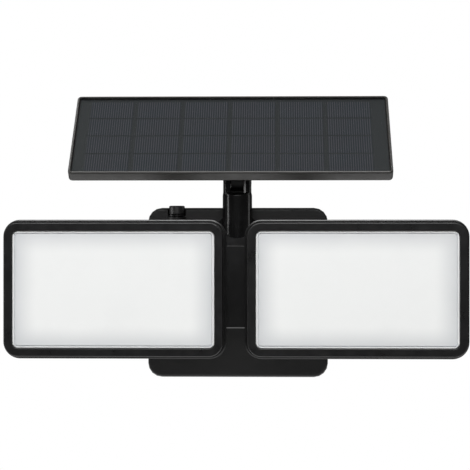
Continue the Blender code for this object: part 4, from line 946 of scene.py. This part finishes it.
def build_floor():
    """Round pale floor with the object's shadow, white far off to the camera and nearby to mirrors."""
    bm = bmesh.new()
    bmesh.ops.create_circle(bm, cap_ends=True, segments=FLOOR_SIDES, radius=FLOOR_RADIUS)
    floor = bpy.data.objects.new("floor", finished(bm))
    SCENE.collection.objects.link(floor)
    floor.location.z = FLOOR_LEVEL
    material, tree, shader = shader_of("pale_floor")
    shader.inputs["Roughness"].default_value = FLOOR_ROUGHNESS
    cloud = noise(tree, object_space(tree), scale=3.0)
    tree.links.new(tint(tree, cloud, FLOOR_WARM, FLOOR_PALE), shader.inputs["Base Color"])
    place = add(tree, "ShaderNodeNewGeometry").outputs["Position"]
    away = add(tree, "ShaderNodeVectorMath", {0: place}, operation="LENGTH").outputs["Value"]
    path, mirrored = rays(tree)
    fade = remap(tree, away, source=FLOOR_FADE, smooth=True)
    near = maths(tree, "MULTIPLY", mirrored, maths(tree, "SUBTRACT", 1.0, fade))
    share = maths(tree, "ADD", near, maths(tree, "MULTIPLY", path["Is Camera Ray"], fade))
    white = add(tree, "ShaderNodeEmission", {"Color": (*WHITE, 1.0), "Strength": 1.0}).outputs[0]
    mix = add(tree, "ShaderNodeMixShader", {0: share, 1: shader.outputs[0], 2: white}).outputs[0]
    tree.links.new(mix, tree.nodes["Material Output"].inputs["Surface"])
    floor.data.materials.append(material)


def build_world():
    """White behind the object for the camera, and a dim studio that is brighter overhead for the light."""
    world = bpy.data.worlds.new("studio")
    world.use_nodes = True
    SCENE.world = world
    tree = world.node_tree
    ground = tree.nodes["Background"]
    towards = add(tree, "ShaderNodeTexCoord").outputs["Generated"]
    parts = add(tree, "ShaderNodeSeparateXYZ", {0: towards}).outputs
    level = remap(tree, parts[2], source=WORLD_RISE, target=(WORLD_LOW, WORLD_HIGH), smooth=True)
    studio = add(tree, "ShaderNodeCombineColor", {0: level, 1: level, 2: level}).outputs[0]
    path, mirrored = rays(tree)
    behind = remap(tree, parts[1], source=WORLD_BEHIND)
    seen = maths(tree, "MAXIMUM", path["Is Camera Ray"], maths(tree, "MULTIPLY", mirrored, behind))
    tree.links.new(tint(tree, seen, studio, WHITE), ground.inputs["Color"])
    ground.inputs["Strength"].default_value = 1.0


def build_camera():
    lens = bpy.data.cameras.new("camera")
    lens.lens = CAMERA_LENS
    lens.sensor_width = CAMERA_SENSOR
    camera = bpy.data.objects.new("camera", lens)
    SCENE.collection.objects.link(camera)
    camera.location = CAMERA_PLACE
    camera.rotation_euler = aimed(CAMERA_PLACE, CAMERA_AIM)
    SCENE.camera = camera


# The pieces

for label in SIDES:
    build_head(label)
    piece(label + "_knuckle", softened(label + "_knuckle", KNUCKLE_EDGE), SATIN)
    dress(label + "_lens_seal", RUBBER)
    dress(label + "_led_board", WHITE_BOARD)
build_panel()
build_fasteners()
build_button()
piece("panel_neck", softened("panel_neck", NECK_EDGE, NECK_SEGMENTS), DULL)
build_mast()
build_block()
piece("box_housing", softened("box_housing", HOUSING_EDGE), BOX)
piece("back_cover", softened("back_cover", COVER_EDGE), BOX)
for node, material in (
        ("box_gasket", RUBBER), ("battery_holder", SATIN), ("battery_cell_1", WRAP), ("battery_cell_2", WRAP),
        ("control_board", GREEN), ("power_switch", SATIN), ("mast_washer", STEEL), ("mast_nut", BLACK_STEEL)):
    dress(node, material)

build_floor()
build_world()
softbox("front_top", place=(0.0, -1.25, 1.55), size=(1.5, 0.7), power=30.5)
softbox("below", place=(0.0, -0.06, -0.66), size=(1.2, 0.3), power=1.8, target=(0.0, -0.06, 0.1))
softbox("front_low", place=(0.0, -1.95, 0.85), size=(1.6, 0.5), power=9.5)
softbox("left_strip", place=(-1.41, -0.40, 0.25), size=(0.16, 1.5), power=4.5)
softbox("right_strip", place=(1.45, 0.35, 0.25), size=(0.25, 1.5), power=1.8)
softbox("left_rear", place=(-0.90, 0.15, 1.35), size=(0.5, 0.5), power=5.0)
softbox("right_rear", place=(0.90, 0.15, 1.35), size=(0.5, 0.5), power=2.5)
build_camera()
SCENE.view_settings.view_transform = "Standard"
